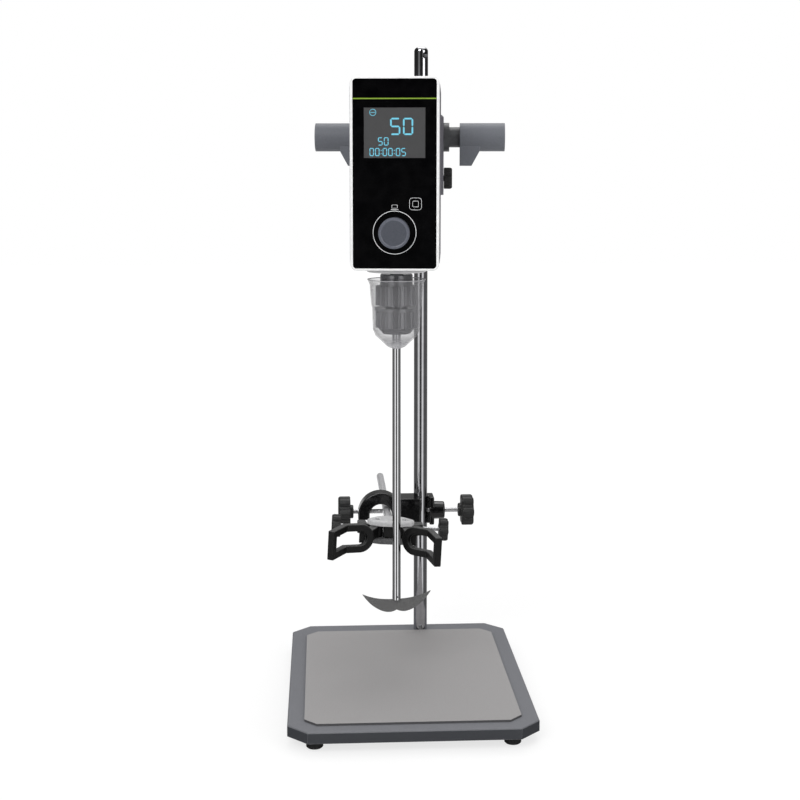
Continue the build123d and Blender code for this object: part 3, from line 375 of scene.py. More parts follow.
# Painted highlight: the edges of the knobs and the rocker go to a pale grey.
soften(thermoset, THERMOSET_ROUNDING, THERMOSET_EDGE_HIGHLIGHT)
dress(thermoset, "switch_rocker")
for name, body, radius in (
    ("lock_knob", "carriage_lock", LOCK_KNOB_EDGE),
    ("column_knob", "column_clamp_screw", SCREW_KNOB_EDGE),
    ("rod_knob", "rod_clamp_screw", SCREW_KNOB_EDGE),
    ("jaw_knob_left", "left_adjuster", JAW_KNOB_EDGE),
    ("jaw_knob_right", "right_adjuster", JAW_KNOB_EDGE),
):
    rounded(name, thermoset, body, radius)

# Shell of the head: dark grey moulded plastic with a fine texture. It is open at the front, where
# the bezel closes it.
SHELL_DARK = (101, 99, 107)
SHELL_LIGHT = (112, 110, 118)
SHELL_RELIEF = 0.0001
SHELL_ROUNDING = 0.0008

shell_plastic = new_finish("dark_grey_shell", SHELL_LIGHT, roughness=0.45)
shell_grain = noise_on(shell_plastic, scale=1500)
mottle(shell_plastic, shell_grain, SHELL_DARK, SHELL_LIGHT)
vary_roughness(shell_plastic, shell_grain, low=0.4, high=0.55)
relief(shell_plastic, shell_grain, SHELL_RELIEF, strength=0.3)
soften(shell_plastic, SHELL_ROUNDING)
dress(shell_plastic, "rear_housing")

# Bezel: a frame of white moulded plastic round the glass. It closes the front of the shell and is
# smoother than the shell.
BEZEL_DARK = (234, 234, 234)
BEZEL_LIGHT = (244, 244, 244)

bezel_plastic = new_finish("white_bezel", (240, 240, 240), roughness=0.35)
bezel_cloud = noise_on(bezel_plastic, scale=500)
mottle(bezel_plastic, bezel_cloud, BEZEL_DARK, BEZEL_LIGHT)
vary_roughness(bezel_plastic, bezel_cloud, low=0.3, high=0.4)
dress(bezel_plastic, "front_bezel")

# Front: a 2 mm pane of black backed glass, flat and glossy, with a display of grey film behind its
# window and a green circuit board behind the display.
GLASS_DARK = (3, 3, 4)
GLASS_LIGHT = (8, 8, 9)
GLASS_SHINE = 0.3
FILM_DARK = (66, 66, 67)
FILM_LIGHT = (76, 76, 77)
BOARD_DARK = (20, 64, 38)
BOARD_LIGHT = (30, 86, 52)

glass = new_finish("black_backed_glass", (5, 5, 6), roughness=0.06)
shader_of(glass).inputs["Specular IOR Level"].default_value = GLASS_SHINE
glass_film = noise_on(glass, scale=90, detail=2)
mottle(glass, glass_film, GLASS_DARK, GLASS_LIGHT)
vary_roughness(glass, glass_film, low=0.04, high=0.09)
dress(glass, "front_panel")

display_film = new_finish("grey_display_film", (72, 72, 73), roughness=0.3)
display_grain = noise_on(display_film, scale=3000, detail=2)
mottle(display_film, display_grain, FILM_DARK, FILM_LIGHT)
vary_roughness(display_film, display_grain, low=0.28, high=0.4)
dress(display_film, "display_module")

board = new_finish("green_board", (25, 75, 45), roughness=0.5)
board_cloud = noise_on(board, scale=400)
mottle(board, board_cloud, BOARD_DARK, BOARD_LIGHT)
dress(board, "circuit_board")

# Bearing boss: the collar under the head that the spindle comes out of. It is die cast zinc,
# machined to a light satin grey.
BOSS_DARK = (190, 190, 191)
BOSS_LIGHT = (215, 215, 216)

boss_cast = new_finish("light_machined_cast", (205, 205, 206), roughness=0.4)
boss_marks = noise_on(boss_cast, scale=200, detail=3, stretch=(1, 1, 10))
mottle(boss_cast, boss_marks, BOSS_DARK, BOSS_LIGHT)
vary_roughness(boss_cast, boss_marks, low=0.3, high=0.5)
dress(boss_cast, "bearing_boss")

# Motor, bearing and spindle: plain turned steel, inside the head. The lathe has left faint rings
# round them.
STEEL_DARK = (130, 130, 132)
STEEL_LIGHT = (165, 165, 167)

motor_steel = new_finish("motor_steel", (150, 150, 152), roughness=0.35, metallic=1.0)
motor_marks = noise_on(motor_steel, scale=150, detail=3, stretch=(1, 1, 12))
mottle(motor_steel, motor_marks, STEEL_DARK, STEEL_LIGHT)
dress(motor_steel, "motor_can", "spindle_bearing", "spindle")

# Chuck: polished hardened steel, with its rear ring and its sleeve ribbed for the hand. The sleeve
# closes three jaws on the stirring rod.
CHUCK_DARK = (122, 122, 125)
CHUCK_LIGHT = (132, 132, 135)

chuck_steel = new_finish("polished_hard_steel", CHUCK_LIGHT, roughness=0.14, metallic=0.6)
chuck_marks = noise_on(chuck_steel, scale=300, detail=3, stretch=(1, 1, 5))
mottle(chuck_steel, chuck_marks, CHUCK_DARK, CHUCK_LIGHT)
vary_roughness(chuck_steel, chuck_marks, low=0.13, high=0.15)
dress(chuck_steel, "chuck_body", "chuck_sleeve", "chuck_jaw_a", "chuck_jaw_b", "chuck_jaw_c")

# Guard: a blow moulded cup of clear, slightly milky plastic, a millimetre thick. It is clearest where
# it is looked at squarely, and densest along its outline and in the cone at its foot, where it is
# thickest.
GUARD_DARK = (157, 157, 160)
GUARD_LIGHT = (172, 172, 175)
GUARD_THICK = (232, 232, 235)
GUARD_CLEAR = 0.11
GUARD_RIM = 0.5
GUARD_TURN = 0.3
GUARD_FOOT = 0.65
FOOT_HIGH = 0.016

guard_plastic = new_finish("milky_guard", (165, 165, 168), roughness=0.3)
guard_tree = guard_plastic.node_tree
guard_edge = guard_tree.nodes.new("ShaderNodeLayerWeight")
guard_edge.inputs["Blend"].default_value = GUARD_TURN
guard_body = guard_tree.nodes.new("ShaderNodeMapRange")
guard_body.inputs["To Min"].default_value = GUARD_CLEAR
guard_body.inputs["To Max"].default_value = GUARD_RIM
guard_tree.links.new(guard_edge.outputs["Facing"], guard_body.inputs["Value"])
funnel_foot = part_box("guard_funnel")[0].z
guard_place = guard_tree.nodes.new("ShaderNodeTexCoord")
guard_axes = guard_tree.nodes.new("ShaderNodeSeparateXYZ")
guard_tree.links.new(guard_place.outputs["Object"], guard_axes.inputs["Vector"])
guard_foot = guard_tree.nodes.new("ShaderNodeMapRange")
guard_foot.inputs["From Min"].default_value = funnel_foot
guard_foot.inputs["From Max"].default_value = funnel_foot + FOOT_HIGH
guard_foot.inputs["To Min"].default_value = GUARD_FOOT
guard_foot.inputs["To Max"].default_value = 0.0
guard_tree.links.new(guard_axes.outputs["Z"], guard_foot.inputs["Value"])
guard_dense = guard_tree.nodes.new("ShaderNodeMath")
guard_dense.operation = "MAXIMUM"
guard_tree.links.new(guard_body.outputs["Result"], guard_dense.inputs[0])
guard_tree.links.new(guard_foot.outputs["Result"], guard_dense.inputs[1])
guard_tree.links.new(guard_dense.outputs["Value"], shader_of(guard_plastic).inputs["Alpha"])
guard_cloud = noise_on(guard_plastic, scale=80, detail=3)
mottle(guard_plastic, guard_cloud, GUARD_DARK, GUARD_LIGHT)
vary_roughness(guard_plastic, guard_cloud, low=0.22, high=0.36)
blend(guard_plastic, GUARD_THICK, guard_foot.outputs["Result"])
dress(guard_plastic, "chuck_guard", "guard_funnel")

# Paddle: a crescent cut from steel sheet, with a speckled non-stick coating. A dark steel pin holds
# it in the end of the stirring rod.
PADDLE_DARK = (84, 84, 84)
PADDLE_LIGHT = (110, 110, 110)
PADDLE_RELIEF = 0.00008
PIN_DARK = (24, 24, 25)
PIN_LIGHT = (38, 38, 39)

paddle_coat = new_finish("speckled_coating", (96, 96, 96), roughness=0.6)
paddle_specks = noise_on(paddle_coat, scale=1600, detail=2)
mottle(paddle_coat, paddle_specks, PADDLE_DARK, PADDLE_LIGHT, low=0.42, high=0.6)
vary_roughness(paddle_coat, paddle_specks, low=0.5, high=0.7)
relief(paddle_coat, paddle_specks, PADDLE_RELIEF, strength=0.3)
dress(paddle_coat, "paddle")

pin_steel = new_finish("dark_pin_steel", (30, 30, 31), roughness=0.4, metallic=0.6)
pin_cloud = noise_on(pin_steel, scale=900)
mottle(pin_steel, pin_cloud, PIN_DARK, PIN_LIGHT)
dress(pin_steel, "paddle_pin")

# Boss head: a casting with rounded edges under a thick black gloss enamel, slightly uneven from the
# mould's sand. The edges of the bore that the column passes through stay sharp.
ENAMEL_DARK = (6, 6, 7)
ENAMEL_LIGHT = (12, 12, 13)
ENAMEL_EDGE_HIGHLIGHT = (76, 76, 78)
ENAMEL_COAT = 0.5
ENAMEL_COAT_ROUGH = 0.08
ENAMEL_RELIEF = 0.0004
ENAMEL_ROUNDING = 0.0012
BOSS_HEAD_EDGE = 0.0014
SEAT_REACH = 0.0085

enamel = new_finish("black_gloss_enamel", (8, 8, 9), roughness=0.16)
shader_of(enamel).inputs["Coat Weight"].default_value = ENAMEL_COAT
shader_of(enamel).inputs["Coat Roughness"].default_value = ENAMEL_COAT_ROUGH
enamel_sand = noise_on(enamel, scale=260, detail=3)
mottle(enamel, enamel_sand, ENAMEL_DARK, ENAMEL_LIGHT)
vary_roughness(enamel, enamel_sand, low=0.12, high=0.22)
relief(enamel, enamel_sand, ENAMEL_RELIEF, strength=0.25)
# Painted highlight: the edges of the boss head go to a pale grey.
soften(enamel, ENAMEL_ROUNDING, ENAMEL_EDGE_HIGHLIGHT)
column_low, column_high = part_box("column_upper")
column_axis = (column_low + column_high) / 2
column_bore = (column_axis.xy, SEAT_REACH)
rounded("bosshead_body", enamel, "bosshead", BOSS_HEAD_EDGE, column_bore)

# Clamp: a body and a lower plate of die cast zinc, with the roots of the jaws between them. The body
# is tumbled to a pale grey and its edges are rounded. The lower plate is given a darker grey as painted
# shade, as it lies under the body.
CLAMP_DARK = (184, 184, 185)
CLAMP_LIGHT = (200, 200, 201)
LOWER_SHADE_DARK = (86, 86, 87)
LOWER_SHADE_LIGHT = (104, 104, 105)
CLAMP_RELIEF = 0.0003
CLAMP_ROUNDING = 0.0008

clamp_cast = new_finish("tumbled_die_cast", (196, 196, 197), roughness=0.42)
clamp_sand = noise_on(clamp_cast, scale=350, detail=4)
mottle(clamp_cast, clamp_sand, CLAMP_DARK, CLAMP_LIGHT)
vary_roughness(clamp_cast, clamp_sand, low=0.34, high=0.5)
relief(clamp_cast, clamp_sand, CLAMP_RELIEF, strength=0.3)
soften(clamp_cast, CLAMP_ROUNDING)
rounded("clamp_body", clamp_cast, "clamp", CLAMP_ROUNDING)

# Painted shade: the lower plate gets a darker grey than the body of the same zinc.
lower_cast_shaded = new_finish("die_cast_painted_shade", (96, 96, 97), roughness=0.42)
lower_sand = noise_on(lower_cast_shaded, scale=350, detail=4)
mottle(lower_cast_shaded, lower_sand, LOWER_SHADE_DARK, LOWER_SHADE_LIGHT)
relief(lower_cast_shaded, lower_sand, CLAMP_RELIEF, strength=0.3)
soften(lower_cast_shaded, CLAMP_ROUNDING)
dress(lower_cast_shaded, "clamp_lower_plate")

# Jaws: cast loops with rounded edges, dipped in black rubber, which is dull. Their faces that look up
# are painted pale grey as painted light from above, the other faces keep the rubber's near black, and
# the edges get a paler painted highlight.
JAW_LIT_TOP_DARK = (72, 72, 72)
JAW_LIT_TOP_LIGHT = (96, 96, 96)
JAW_SIDE = (14, 14, 14)
JAW_EDGE_HIGHLIGHT = (88, 88, 88)
JAW_SHINE = 0.3
JAW_RELIEF = 0.00015
JAW_ROUNDING = 0.0012
JAW_EDGE = 0.0009

dipped_rubber = new_finish("dipped_black_rubber", (84, 84, 84), roughness=0.5)
shader_of(dipped_rubber).inputs["Specular IOR Level"].default_value = JAW_SHINE
dip_grain = noise_on(dipped_rubber, scale=700, detail=4)
# Painted light: the pale grey mottle is the colour of the faces that look up, as lit from above.
mottle(dipped_rubber, dip_grain, JAW_LIT_TOP_DARK, JAW_LIT_TOP_LIGHT)
vary_roughness(dipped_rubber, dip_grain, low=0.42, high=0.6)
relief(dipped_rubber, dip_grain, JAW_RELIEF, strength=0.3)
shade_sides(dipped_rubber, JAW_SIDE)
# Painted highlight: the jaws' edges go to a paler grey.
soften(dipped_rubber, JAW_ROUNDING, JAW_EDGE_HIGHLIGHT)
rounded("jaw_left", dipped_rubber, "left_jaw", JAW_EDGE)
rounded("jaw_right", dipped_rubber, "right_jaw", JAW_EDGE)

# Spring block: black moulded nylon between the two plates of the clamp, with the jaws' spring inside.
# Its near-black colour also serves as painted shade in the gap between the plates. It lies in line with
# the clamp's rod and leans with the clamp.
NYLON_AND_GAP_SHADE_DARK = (11, 11, 11)
NYLON_AND_GAP_SHADE_LIGHT = (18, 18, 18)
BLOCK_HALF = 0.0071
BLOCK_FRONT = -0.0865
BLOCK_BACK = -0.0735
BLOCK_HIGH = 0.0058
BLOCK_EDGE = 0.0012
CLAMP_ROLL = radians(3)
ROD_TAIL = 0.167

# Partly painted shade: the near black also stands for the shade in the gap between the plates.
nylon = new_finish("black_nylon", (14, 14, 14), roughness=0.5)
nylon_grain = noise_on(nylon, scale=800)
mottle(nylon, nylon_grain, NYLON_AND_GAP_SHADE_DARK, NYLON_AND_GAP_SHADE_LIGHT)
vary_roughness(nylon, nylon_grain, low=0.42, high=0.58)
clamp_low, clamp_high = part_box("clamp_rod")
clamp_frame = Matrix.Translation(
    ((clamp_low.x + clamp_high.x) / 2, clamp_high.y - ROD_TAIL, (clamp_low.z + clamp_high.z) / 2)
) @ Matrix.Rotation(CLAMP_ROLL, 4, "Y")
bm = bmesh.new()
bmesh.ops.create_cube(bm, size=1)
bmesh.ops.scale(bm, vec=(2 * BLOCK_HALF, BLOCK_BACK - BLOCK_FRONT, 2 * BLOCK_HIGH), verts=bm.verts)
bmesh.ops.translate(bm, vec=(0, (BLOCK_BACK + BLOCK_FRONT) / 2, 0), verts=bm.verts)
bmesh.ops.bevel(bm, geom=bm.edges[:], offset=BLOCK_EDGE, segments=3, profile=0.5, affect="EDGES",
                material=-1)
piece_from(bm, "spring_block", nylon, "clamp", clamp_frame)

# Power inlet: a threaded socket of nickelled brass, a little cloudy, that is screwed into the back of
# the head.
NICKEL_DARK = (160, 156, 144)
NICKEL_LIGHT = (188, 184, 172)

inlet_nickel = new_finish("nickelled_brass", (176, 172, 160), roughness=0.3, metallic=1.0)
inlet_cloud = noise_on(inlet_nickel, scale=500)
mottle(inlet_nickel, inlet_cloud, NICKEL_DARK, NICKEL_LIGHT)
vary_roughness(inlet_nickel, inlet_cloud, low=0.26, high=0.36)
dress(inlet_nickel, "dc_jack")

# Prints on the glass: a green line right across, a ring round the knob, a push sign above it and two
# rounded squares for the start key. They are fired on, so they stand hardly proud of the pane.
WHITE_DARK = (240, 241, 242)
WHITE_LIGHT = (250, 251, 252)
GREEN_DARK = (122, 154, 40)
GREEN_LIGHT = (134, 166, 50)
SWIVEL = radians(5.2)
MIDDLE = -0.0203
FACE = -0.170
PANEL_W = 0.0755
PRINT = 0.00005
GREEN_LINE_Z = 0.5642
GREEN_LINE_T = 0.0011
GREEN_LINE_SHORT = 0.0004
RING_Z = 0.4446
RING_R = 0.0194
RING_LINE = 0.0005
RING_STEPS = 96
KEY_X = 0.01885
KEY_Z = 0.47035
KEY_OUTER = 0.0110
KEY_INNER = 0.0055
KEY_OUTER_CORNER = 0.0026
KEY_INNER_CORNER = 0.0012
KEY_LINE = 0.00028
PUSH_Z = 0.4680
PUSH_SIZE = 0.0052
PUSH_CORNER = 0.0008
PUSH_LINE = 0.00035
PUSH_FLATTENED = 0.62
PUSH_FOOT_Z = -0.0027
PUSH_FOOT_W = 0.0068
PUSH_FOOT_T = 0.0004
head_frame = Matrix.Translation((column_axis.x, column_axis.y, 0)) @ Matrix.Rotation(-SWIVEL, 4, "Z")


def before_head(y):
    """The frame of an upright plane at that depth of the head: x to the right, y up and z out."""
    return head_frame @ Matrix.Translation((MIDDLE, y, 0)) @ Matrix.Rotation(radians(90), 4, "X")


def thicken(bm, depth):
    """Gives a flat print its thickness: from the glass out to depth."""
    faces = list(bm.faces)
    grown = bmesh.ops.extrude_face_region(bm, geom=faces)
    moved = [v for v in grown["geom"] if isinstance(v, bmesh.types.BMVert)]
    bmesh.ops.translate(bm, verts=moved, vec=(0, 0, depth))
    bmesh.ops.recalc_face_normals(bm, faces=bm.faces)


def bar(bm, x, y, w, h):
    made = bmesh.ops.create_grid(bm, x_segments=1, y_segments=1, size=0.5)
    bmesh.ops.scale(bm, vec=(w, h, 1), verts=made["verts"])
    bmesh.ops.translate(bm, vec=(x, y, 0), verts=made["verts"])


def ring(bm, x, y, radius, line):
    inner = bmesh.ops.create_circle(bm, segments=RING_STEPS, radius=radius - line / 2)
    outer = bmesh.ops.create_circle(bm, segments=RING_STEPS, radius=radius + line / 2)
    both = inner["verts"] + outer["verts"]
    bmesh.ops.translate(bm, vec=(x, y, 0), verts=both)
    bmesh.ops.bridge_loops(bm, edges=list({e for v in both for e in v.link_edges}))


def rounded_square(bm, size, line, corner):
    """The outline of a square with round corners, as a line that runs along its inside."""
    made = bmesh.ops.create_grid(bm, x_segments=1, y_segments=1, size=size / 2)
    bmesh.ops.bevel(bm, geom=made["verts"], offset=corner, offset_type="OFFSET", segments=5, profile=0.5,
                    affect="VERTICES", material=-1)
    face = max(bm.faces, key=lambda f: f.calc_area())
    bmesh.ops.inset_region(bm, faces=[face], thickness=line, use_boundary=True, use_even_offset=True)
    bmesh.ops.delete(bm, geom=[face], context="FACES")


white_print = new_finish("white_print", (246, 247, 248), roughness=0.4)
white_cloud = noise_on(white_print, scale=900)
mottle(white_print, white_cloud, WHITE_DARK, WHITE_LIGHT)
green_print = new_finish("green_print", (128, 160, 44), roughness=0.4)
green_cloud = noise_on(green_print, scale=900)
mottle(green_print, green_cloud, GREEN_DARK, GREEN_LIGHT)

bm = bmesh.new()
bar(bm, 0, GREEN_LINE_Z, PANEL_W - GREEN_LINE_SHORT, GREEN_LINE_T)
thicken(bm, PRINT)
piece_from(bm, "green_line", green_print, "head", before_head(FACE))

bm = bmesh.new()
ring(bm, 0, RING_Z, RING_R, RING_LINE)
thicken(bm, PRINT)
piece_from(bm, "knob_ring", white_print, "head", before_head(FACE))

for name, size, corner in (
    ("start_key_outline", KEY_OUTER, KEY_OUTER_CORNER),
    ("start_key_mark", KEY_INNER, KEY_INNER_CORNER),
):
    bm = bmesh.new()
    rounded_square(bm, size, KEY_LINE, corner)
    thicken(bm, PRINT)
    bmesh.ops.translate(bm, vec=(KEY_X, KEY_Z, 0), verts=bm.verts)
    piece_from(bm, name, white_print, "head", before_head(FACE))

bm = bmesh.new()
rounded_square(bm, PUSH_SIZE, PUSH_LINE, PUSH_CORNER)
bmesh.ops.scale(bm, vec=(1, PUSH_FLATTENED, 1), verts=bm.verts)
bar(bm, 0, PUSH_FOOT_Z, PUSH_FOOT_W, PUSH_FOOT_T)
thicken(bm, PRINT)
bmesh.ops.translate(bm, vec=(0, PUSH_Z, 0), verts=bm.verts)
piece_from(bm, "push_sign", white_print, "head", before_head(FACE))

# Control knob: a cap of blue grey plastic with a chamfered rim that is painted lighter as a painted
# highlight, and a shallow dished face. It is pushed on the encoder's shaft, and the encoder's body has
# its colour.
KNOB_DARK = (72, 75, 83)
KNOB_LIGHT = (80, 83, 92)
RIM_HIGHLIGHT_DARK = (92, 95, 105)
RIM_HIGHLIGHT_LIGHT = (104, 107, 117)
KNOB_R = 0.01395
KNOB_BACK = 0.0020
KNOB_FRONT = 0.0180
KNOB_BACK_EDGE = 0.0004
KNOB_HOLLOW_R = 0.0061
KNOB_HOLLOW = 0.0060
KNOB_BORE_R = 0.00305
KNOB_BORE = 0.0133
RIM = 0.0014
LAND = 0.0006
DISH = 0.0005
DISH_STEP = 0.7 * DISH
KNOB_STEPS = 96
KNOB_SHARP = radians(25)


def spun(bm, outline, steps, closed=False):
    """An outline, given as distances from the z axis and along it, turned all the way round."""
    line = [bm.verts.new((r, 0, along)) for r, along in outline]
    pairs = list(zip(line, line[1:]))
    if closed:
        pairs.insert(0, (line[-1], line[0]))
    edges = [bm.edges.new(pair) for pair in pairs]
    bmesh.ops.spin(bm, geom=line + edges, cent=(0, 0, 0), axis=(0, 0, 1), angle=2 * pi, steps=steps,
                   use_merge=True)


knob_plastic = new_finish("blue_grey_knob", KNOB_LIGHT, roughness=0.35)
knob_grain = noise_on(knob_plastic, scale=1000)
mottle(knob_plastic, knob_grain, KNOB_DARK, KNOB_LIGHT)
vary_roughness(knob_plastic, knob_grain, low=0.3, high=0.42)
dress(knob_plastic, "encoder_body")

# Painted highlight: the rim's chamfer and land get a lighter blue grey than the rest of the cap.
rim_highlight_plastic = new_finish("knob_rim_painted_highlight", (98, 101, 111), roughness=0.3)
rim_grain = noise_on(rim_highlight_plastic, scale=1000)
mottle(rim_highlight_plastic, rim_grain, RIM_HIGHLIGHT_DARK, RIM_HIGHLIGHT_LIGHT)

bm = bmesh.new()
spun(bm, [
    (0, KNOB_BORE),
    (KNOB_BORE_R, KNOB_BORE),
    (KNOB_BORE_R, KNOB_HOLLOW),
    (KNOB_HOLLOW_R, KNOB_HOLLOW),
    (KNOB_HOLLOW_R, KNOB_BACK),
    (KNOB_R - KNOB_BACK_EDGE, KNOB_BACK),
    (KNOB_R, KNOB_BACK + KNOB_BACK_EDGE),
    (KNOB_R, KNOB_FRONT - RIM),
    (KNOB_R - RIM, KNOB_FRONT),
    (KNOB_R - RIM - LAND, KNOB_FRONT),
    (KNOB_R - RIM - 2 * LAND, KNOB_FRONT - DISH_STEP),
    (0, KNOB_FRONT - DISH),
], KNOB_STEPS)
bmesh.ops.remove_doubles(bm, verts=bm.verts, dist=WELD)
bmesh.ops.recalc_face_normals(bm, faces=bm.faces)
for face in bm.faces:
    face.smooth = True
    centre = face.calc_center_median()
    face.material_index = int(centre.z > KNOB_FRONT - RIM and centre.xy.length > KNOB_R - RIM - 2 * LAND)
for edge in bm.edges:
    edge.smooth = edge.calc_face_angle(0) < KNOB_SHARP
bmesh.ops.translate(bm, vec=(0, RING_Z, 0), verts=bm.verts)
knob_cap = piece_from(bm, "knob_cap", knob_plastic, "knob", before_head(FACE))
knob_cap.data.materials.append(rim_highlight_plastic)
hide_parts("control_knob")

# Guard's rim: the plastic is rolled to a thin round bead along the top of the cup, and is milky
# there, where it is thick.
BEAD_DARK = (195, 195, 198)
BEAD_LIGHT = (215, 215, 218)
BEAD_DENSE = 0.75
BEAD_R = 0.0270
BEAD = 0.00038
BEAD_SIDES = 8
BEAD_STEPS = 120

bead_plastic = new_finish("milky_bead", (205, 205, 208), roughness=0.3)
shader_of(bead_plastic).inputs["Alpha"].default_value = BEAD_DENSE
bead_cloud = noise_on(bead_plastic, scale=200)
mottle(bead_plastic, bead_cloud, BEAD_DARK, BEAD_LIGHT)
cup_low, cup_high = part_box("chuck_guard")
cup_top = Matrix.Translation(
    ((cup_low.x + cup_high.x) / 2, (cup_low.y + cup_high.y) / 2, cup_high.z - BEAD)
)
bead_angles = [2 * pi * i / BEAD_SIDES for i in range(BEAD_SIDES)]
bm = bmesh.new()
spun(bm, [(BEAD_R + BEAD * cos(a), BEAD * sin(a)) for a in bead_angles], BEAD_STEPS, closed=True)
bmesh.ops.recalc_face_normals(bm, faces=bm.faces)
for face in bm.faces:
    face.smooth = True
piece_from(bm, "guard_bead", bead_plastic, "guard", cup_top)

# Display digits: the lit segments of a liquid crystal display, pale cyan on the grey film, behind the
# window. Large digits show the speed and small ones its setting, with a clock line below them and a
# round sign above.
DIGIT_GLOW = (96, 176, 198)
DIGIT_DARK = (92, 172, 194)
DIGIT_LIGHT = (104, 186, 208)
DIGIT_STRENGTH = 0.35
DIGIT_BEHIND = 0.0003
SPEED = dict(left=-0.0040, low=0.5318, w=0.0092, h=0.0153, line=0.0015, step=0.0115)
SETTING = dict(left=-0.0149, low=0.5225, w=0.0042, h=0.0073, line=0.0008, step=0.0053)
CLOCK = dict(left=-0.0225, low=0.5131, w=0.0040, h=0.0072, line=0.00075, step=0.0050)
SEGMENT_GAP = 0.25
COLON_PLACES = (0.3, 0.7)
COLON_LEFT = 0.6
COLON_STEP = 2.4
SIGN_X = -0.0195
SIGN_Z = 0.5519
SIGN_R = 0.0028
SIGN_BAR = 0.0042
SIGN_LINE = 0.0005
LIT = {"0": "abcdef", "5": "acdfg"}


def segment(bm, x, y, length, width, upright):
    """One bar of a digit with pointed ends."""
    half, w = length / 2, width / 2
    outline = [(-half, 0), (-half + w, w), (half - w, w), (half, 0), (half - w, -w), (-half + w, -w)]
    points = [(-b, a) if upright else (a, b) for a, b in outline]
    bm.faces.new([bm.verts.new((x + a, y + b, 0)) for a, b in points])


def digit(bm, shown, left, low, w, h, line):
    """A digit of seven segments, with its left and lower edges given."""
    left, right = left + line / 2, left + w - line / 2
    low, top = low + line / 2, low + h - line / 2
    gap = line * SEGMENT_GAP
    across, up = right - left - gap, (top - low) / 2 - gap
    centre = (left + right) / 2
    places = {
        "a": (centre, top, across, False),
        "b": (right, (top * 3 + low) / 4, up, True),
        "c": (right, (top + low * 3) / 4, up, True),
        "d": (centre, low, across, False),
        "e": (left, (top + low * 3) / 4, up, True),
        "f": (left, (top * 3 + low) / 4, up, True),
        "g": (centre, (top + low) / 2, across, False),
    }
    for key in LIT[shown]:
        x, y, length, upright = places[key]
        segment(bm, x, y, length, line, upright)


def number(bm, text, left, low, w, h, line, step):
    """A row of digits, with colons as two square dots."""
    x = left
    for shown in text:
        if shown == ":":
            for part in COLON_PLACES:
                bar(bm, x + line * COLON_LEFT, low + h * part, line, line)
            x += line * COLON_STEP
        else:
            digit(bm, shown, x, low, w, h, line)
            x += step


lit_segment = new_finish("lit_segment", DIGIT_GLOW, roughness=0.5)
shader_of(lit_segment).inputs["Emission Color"].default_value = tone(DIGIT_GLOW)
shader_of(lit_segment).inputs["Emission Strength"].default_value = DIGIT_STRENGTH
lit_cloud = noise_on(lit_segment, scale=900)
mottle(lit_segment, lit_cloud, DIGIT_DARK, DIGIT_LIGHT)

bm = bmesh.new()
number(bm, "50", **SPEED)
number(bm, "50", **SETTING)
number(bm, "00:00:05", **CLOCK)
ring(bm, SIGN_X, SIGN_Z, SIGN_R, SIGN_LINE)
bar(bm, SIGN_X, SIGN_Z, SIGN_BAR, SIGN_LINE)
thicken(bm, PRINT)
piece_from(bm, "display_digits", lit_segment, "head", before_head(FACE + DIGIT_BEHIND))

# Floor: a pale sweep without an edge. The camera sees it nearly white with the soft shadow left in, and
# polished parts look through it at the room.
FLOOR_DARK = (238, 238, 238)
FLOOR_LIGHT = (242, 242, 242)
FLOOR_HALF = 6
FLOOR_GLOW = 1.06
GLOW_NEAR = 0.70
SHADOW_REACH = 0.45
SWEEP_START = 1.6

floor_mesh = bpy.data.meshes.new("floor")
bm = bmesh.new()
bmesh.ops.create_grid(bm, x_segments=1, y_segments=1, size=FLOOR_HALF)
bm.to_mesh(floor_mesh)
bm.free()
floor = bpy.data.objects.new("floor", floor_mesh)
bpy.context.scene.collection.objects.link(floor)
floor.visible_glossy = False
floor_white = new_finish("floor_white", (240, 240, 240), roughness=0.8)
floor_cloud = noise_on(floor_white, scale=6)
mottle(floor_white, floor_cloud, FLOOR_DARK, FLOOR_LIGHT)
tree = floor_white.node_tree
path = tree.nodes.new("ShaderNodeLightPath")
glow = tree.nodes.new("ShaderNodeEmission")
glow.inputs["Strength"].default_value = FLOOR_GLOW
spot = tree.nodes.new("ShaderNodeTexCoord")
distance = tree.nodes.new("ShaderNodeVectorMath")
distance.operation = "LENGTH"
tree.links.new(spot.outputs["Object"], distance.inputs["Vector"])
fading = tree.nodes.new("ShaderNodeMapRange")
fading.inputs["From Min"].default_value = SHADOW_REACH
fading.inputs["From Max"].default_value = SWEEP_START
fading.inputs["To Min"].default_value = GLOW_NEAR
fading.inputs["To Max"].default_value = 1.0
tree.links.new(distance.outputs["Value"], fading.inputs["Value"])
share = tree.nodes.new("ShaderNodeMath")
share.operation = "MULTIPLY"
tree.links.new(path.outputs["Is Camera Ray"], share.inputs[0])
tree.links.new(fading.outputs["Result"], share.inputs[1])
mixer = tree.nodes.new("ShaderNodeMixShader")
tree.links.new(share.outputs["Value"], mixer.inputs["Fac"])
tree.links.new(shader_of(floor_white).outputs["BSDF"], mixer.inputs[1])
tree.links.new(glow.outputs["Emission"], mixer.inputs[2])
tree.links.new(mixer.outputs["Shader"], tree.nodes["Material Output"].inputs["Surface"])
floor.data.materials.append(floor_white)

# Surround: white behind the object and an even light on it. Reflections see a room instead, with dark
# and bright walls by compass angle that are dimmer above the horizon. That gives polished bars their
# bands.
WALLS = (
    (0.0, 0.05), (0.08, 0.06), (0.12, 1.0), (0.24, 1.0),
    (0.31, 0.13), (0.62, 0.12), (0.82, 0.24), (1.0, 0.8),
)
HEIGHTS = ((0.0, 1.0), (0.47, 1.0), (0.53, 0.22), (0.80, 0.22), (0.93, 0.8))
CAMERA_SIDE = radians(4)
AMBIENT = 0.55
WHITE = (1, 1, 1, 1)

world = bpy.data.worlds.new("studio")
bpy.context.scene.world = world
world.use_nodes = True
tree = world.node_tree


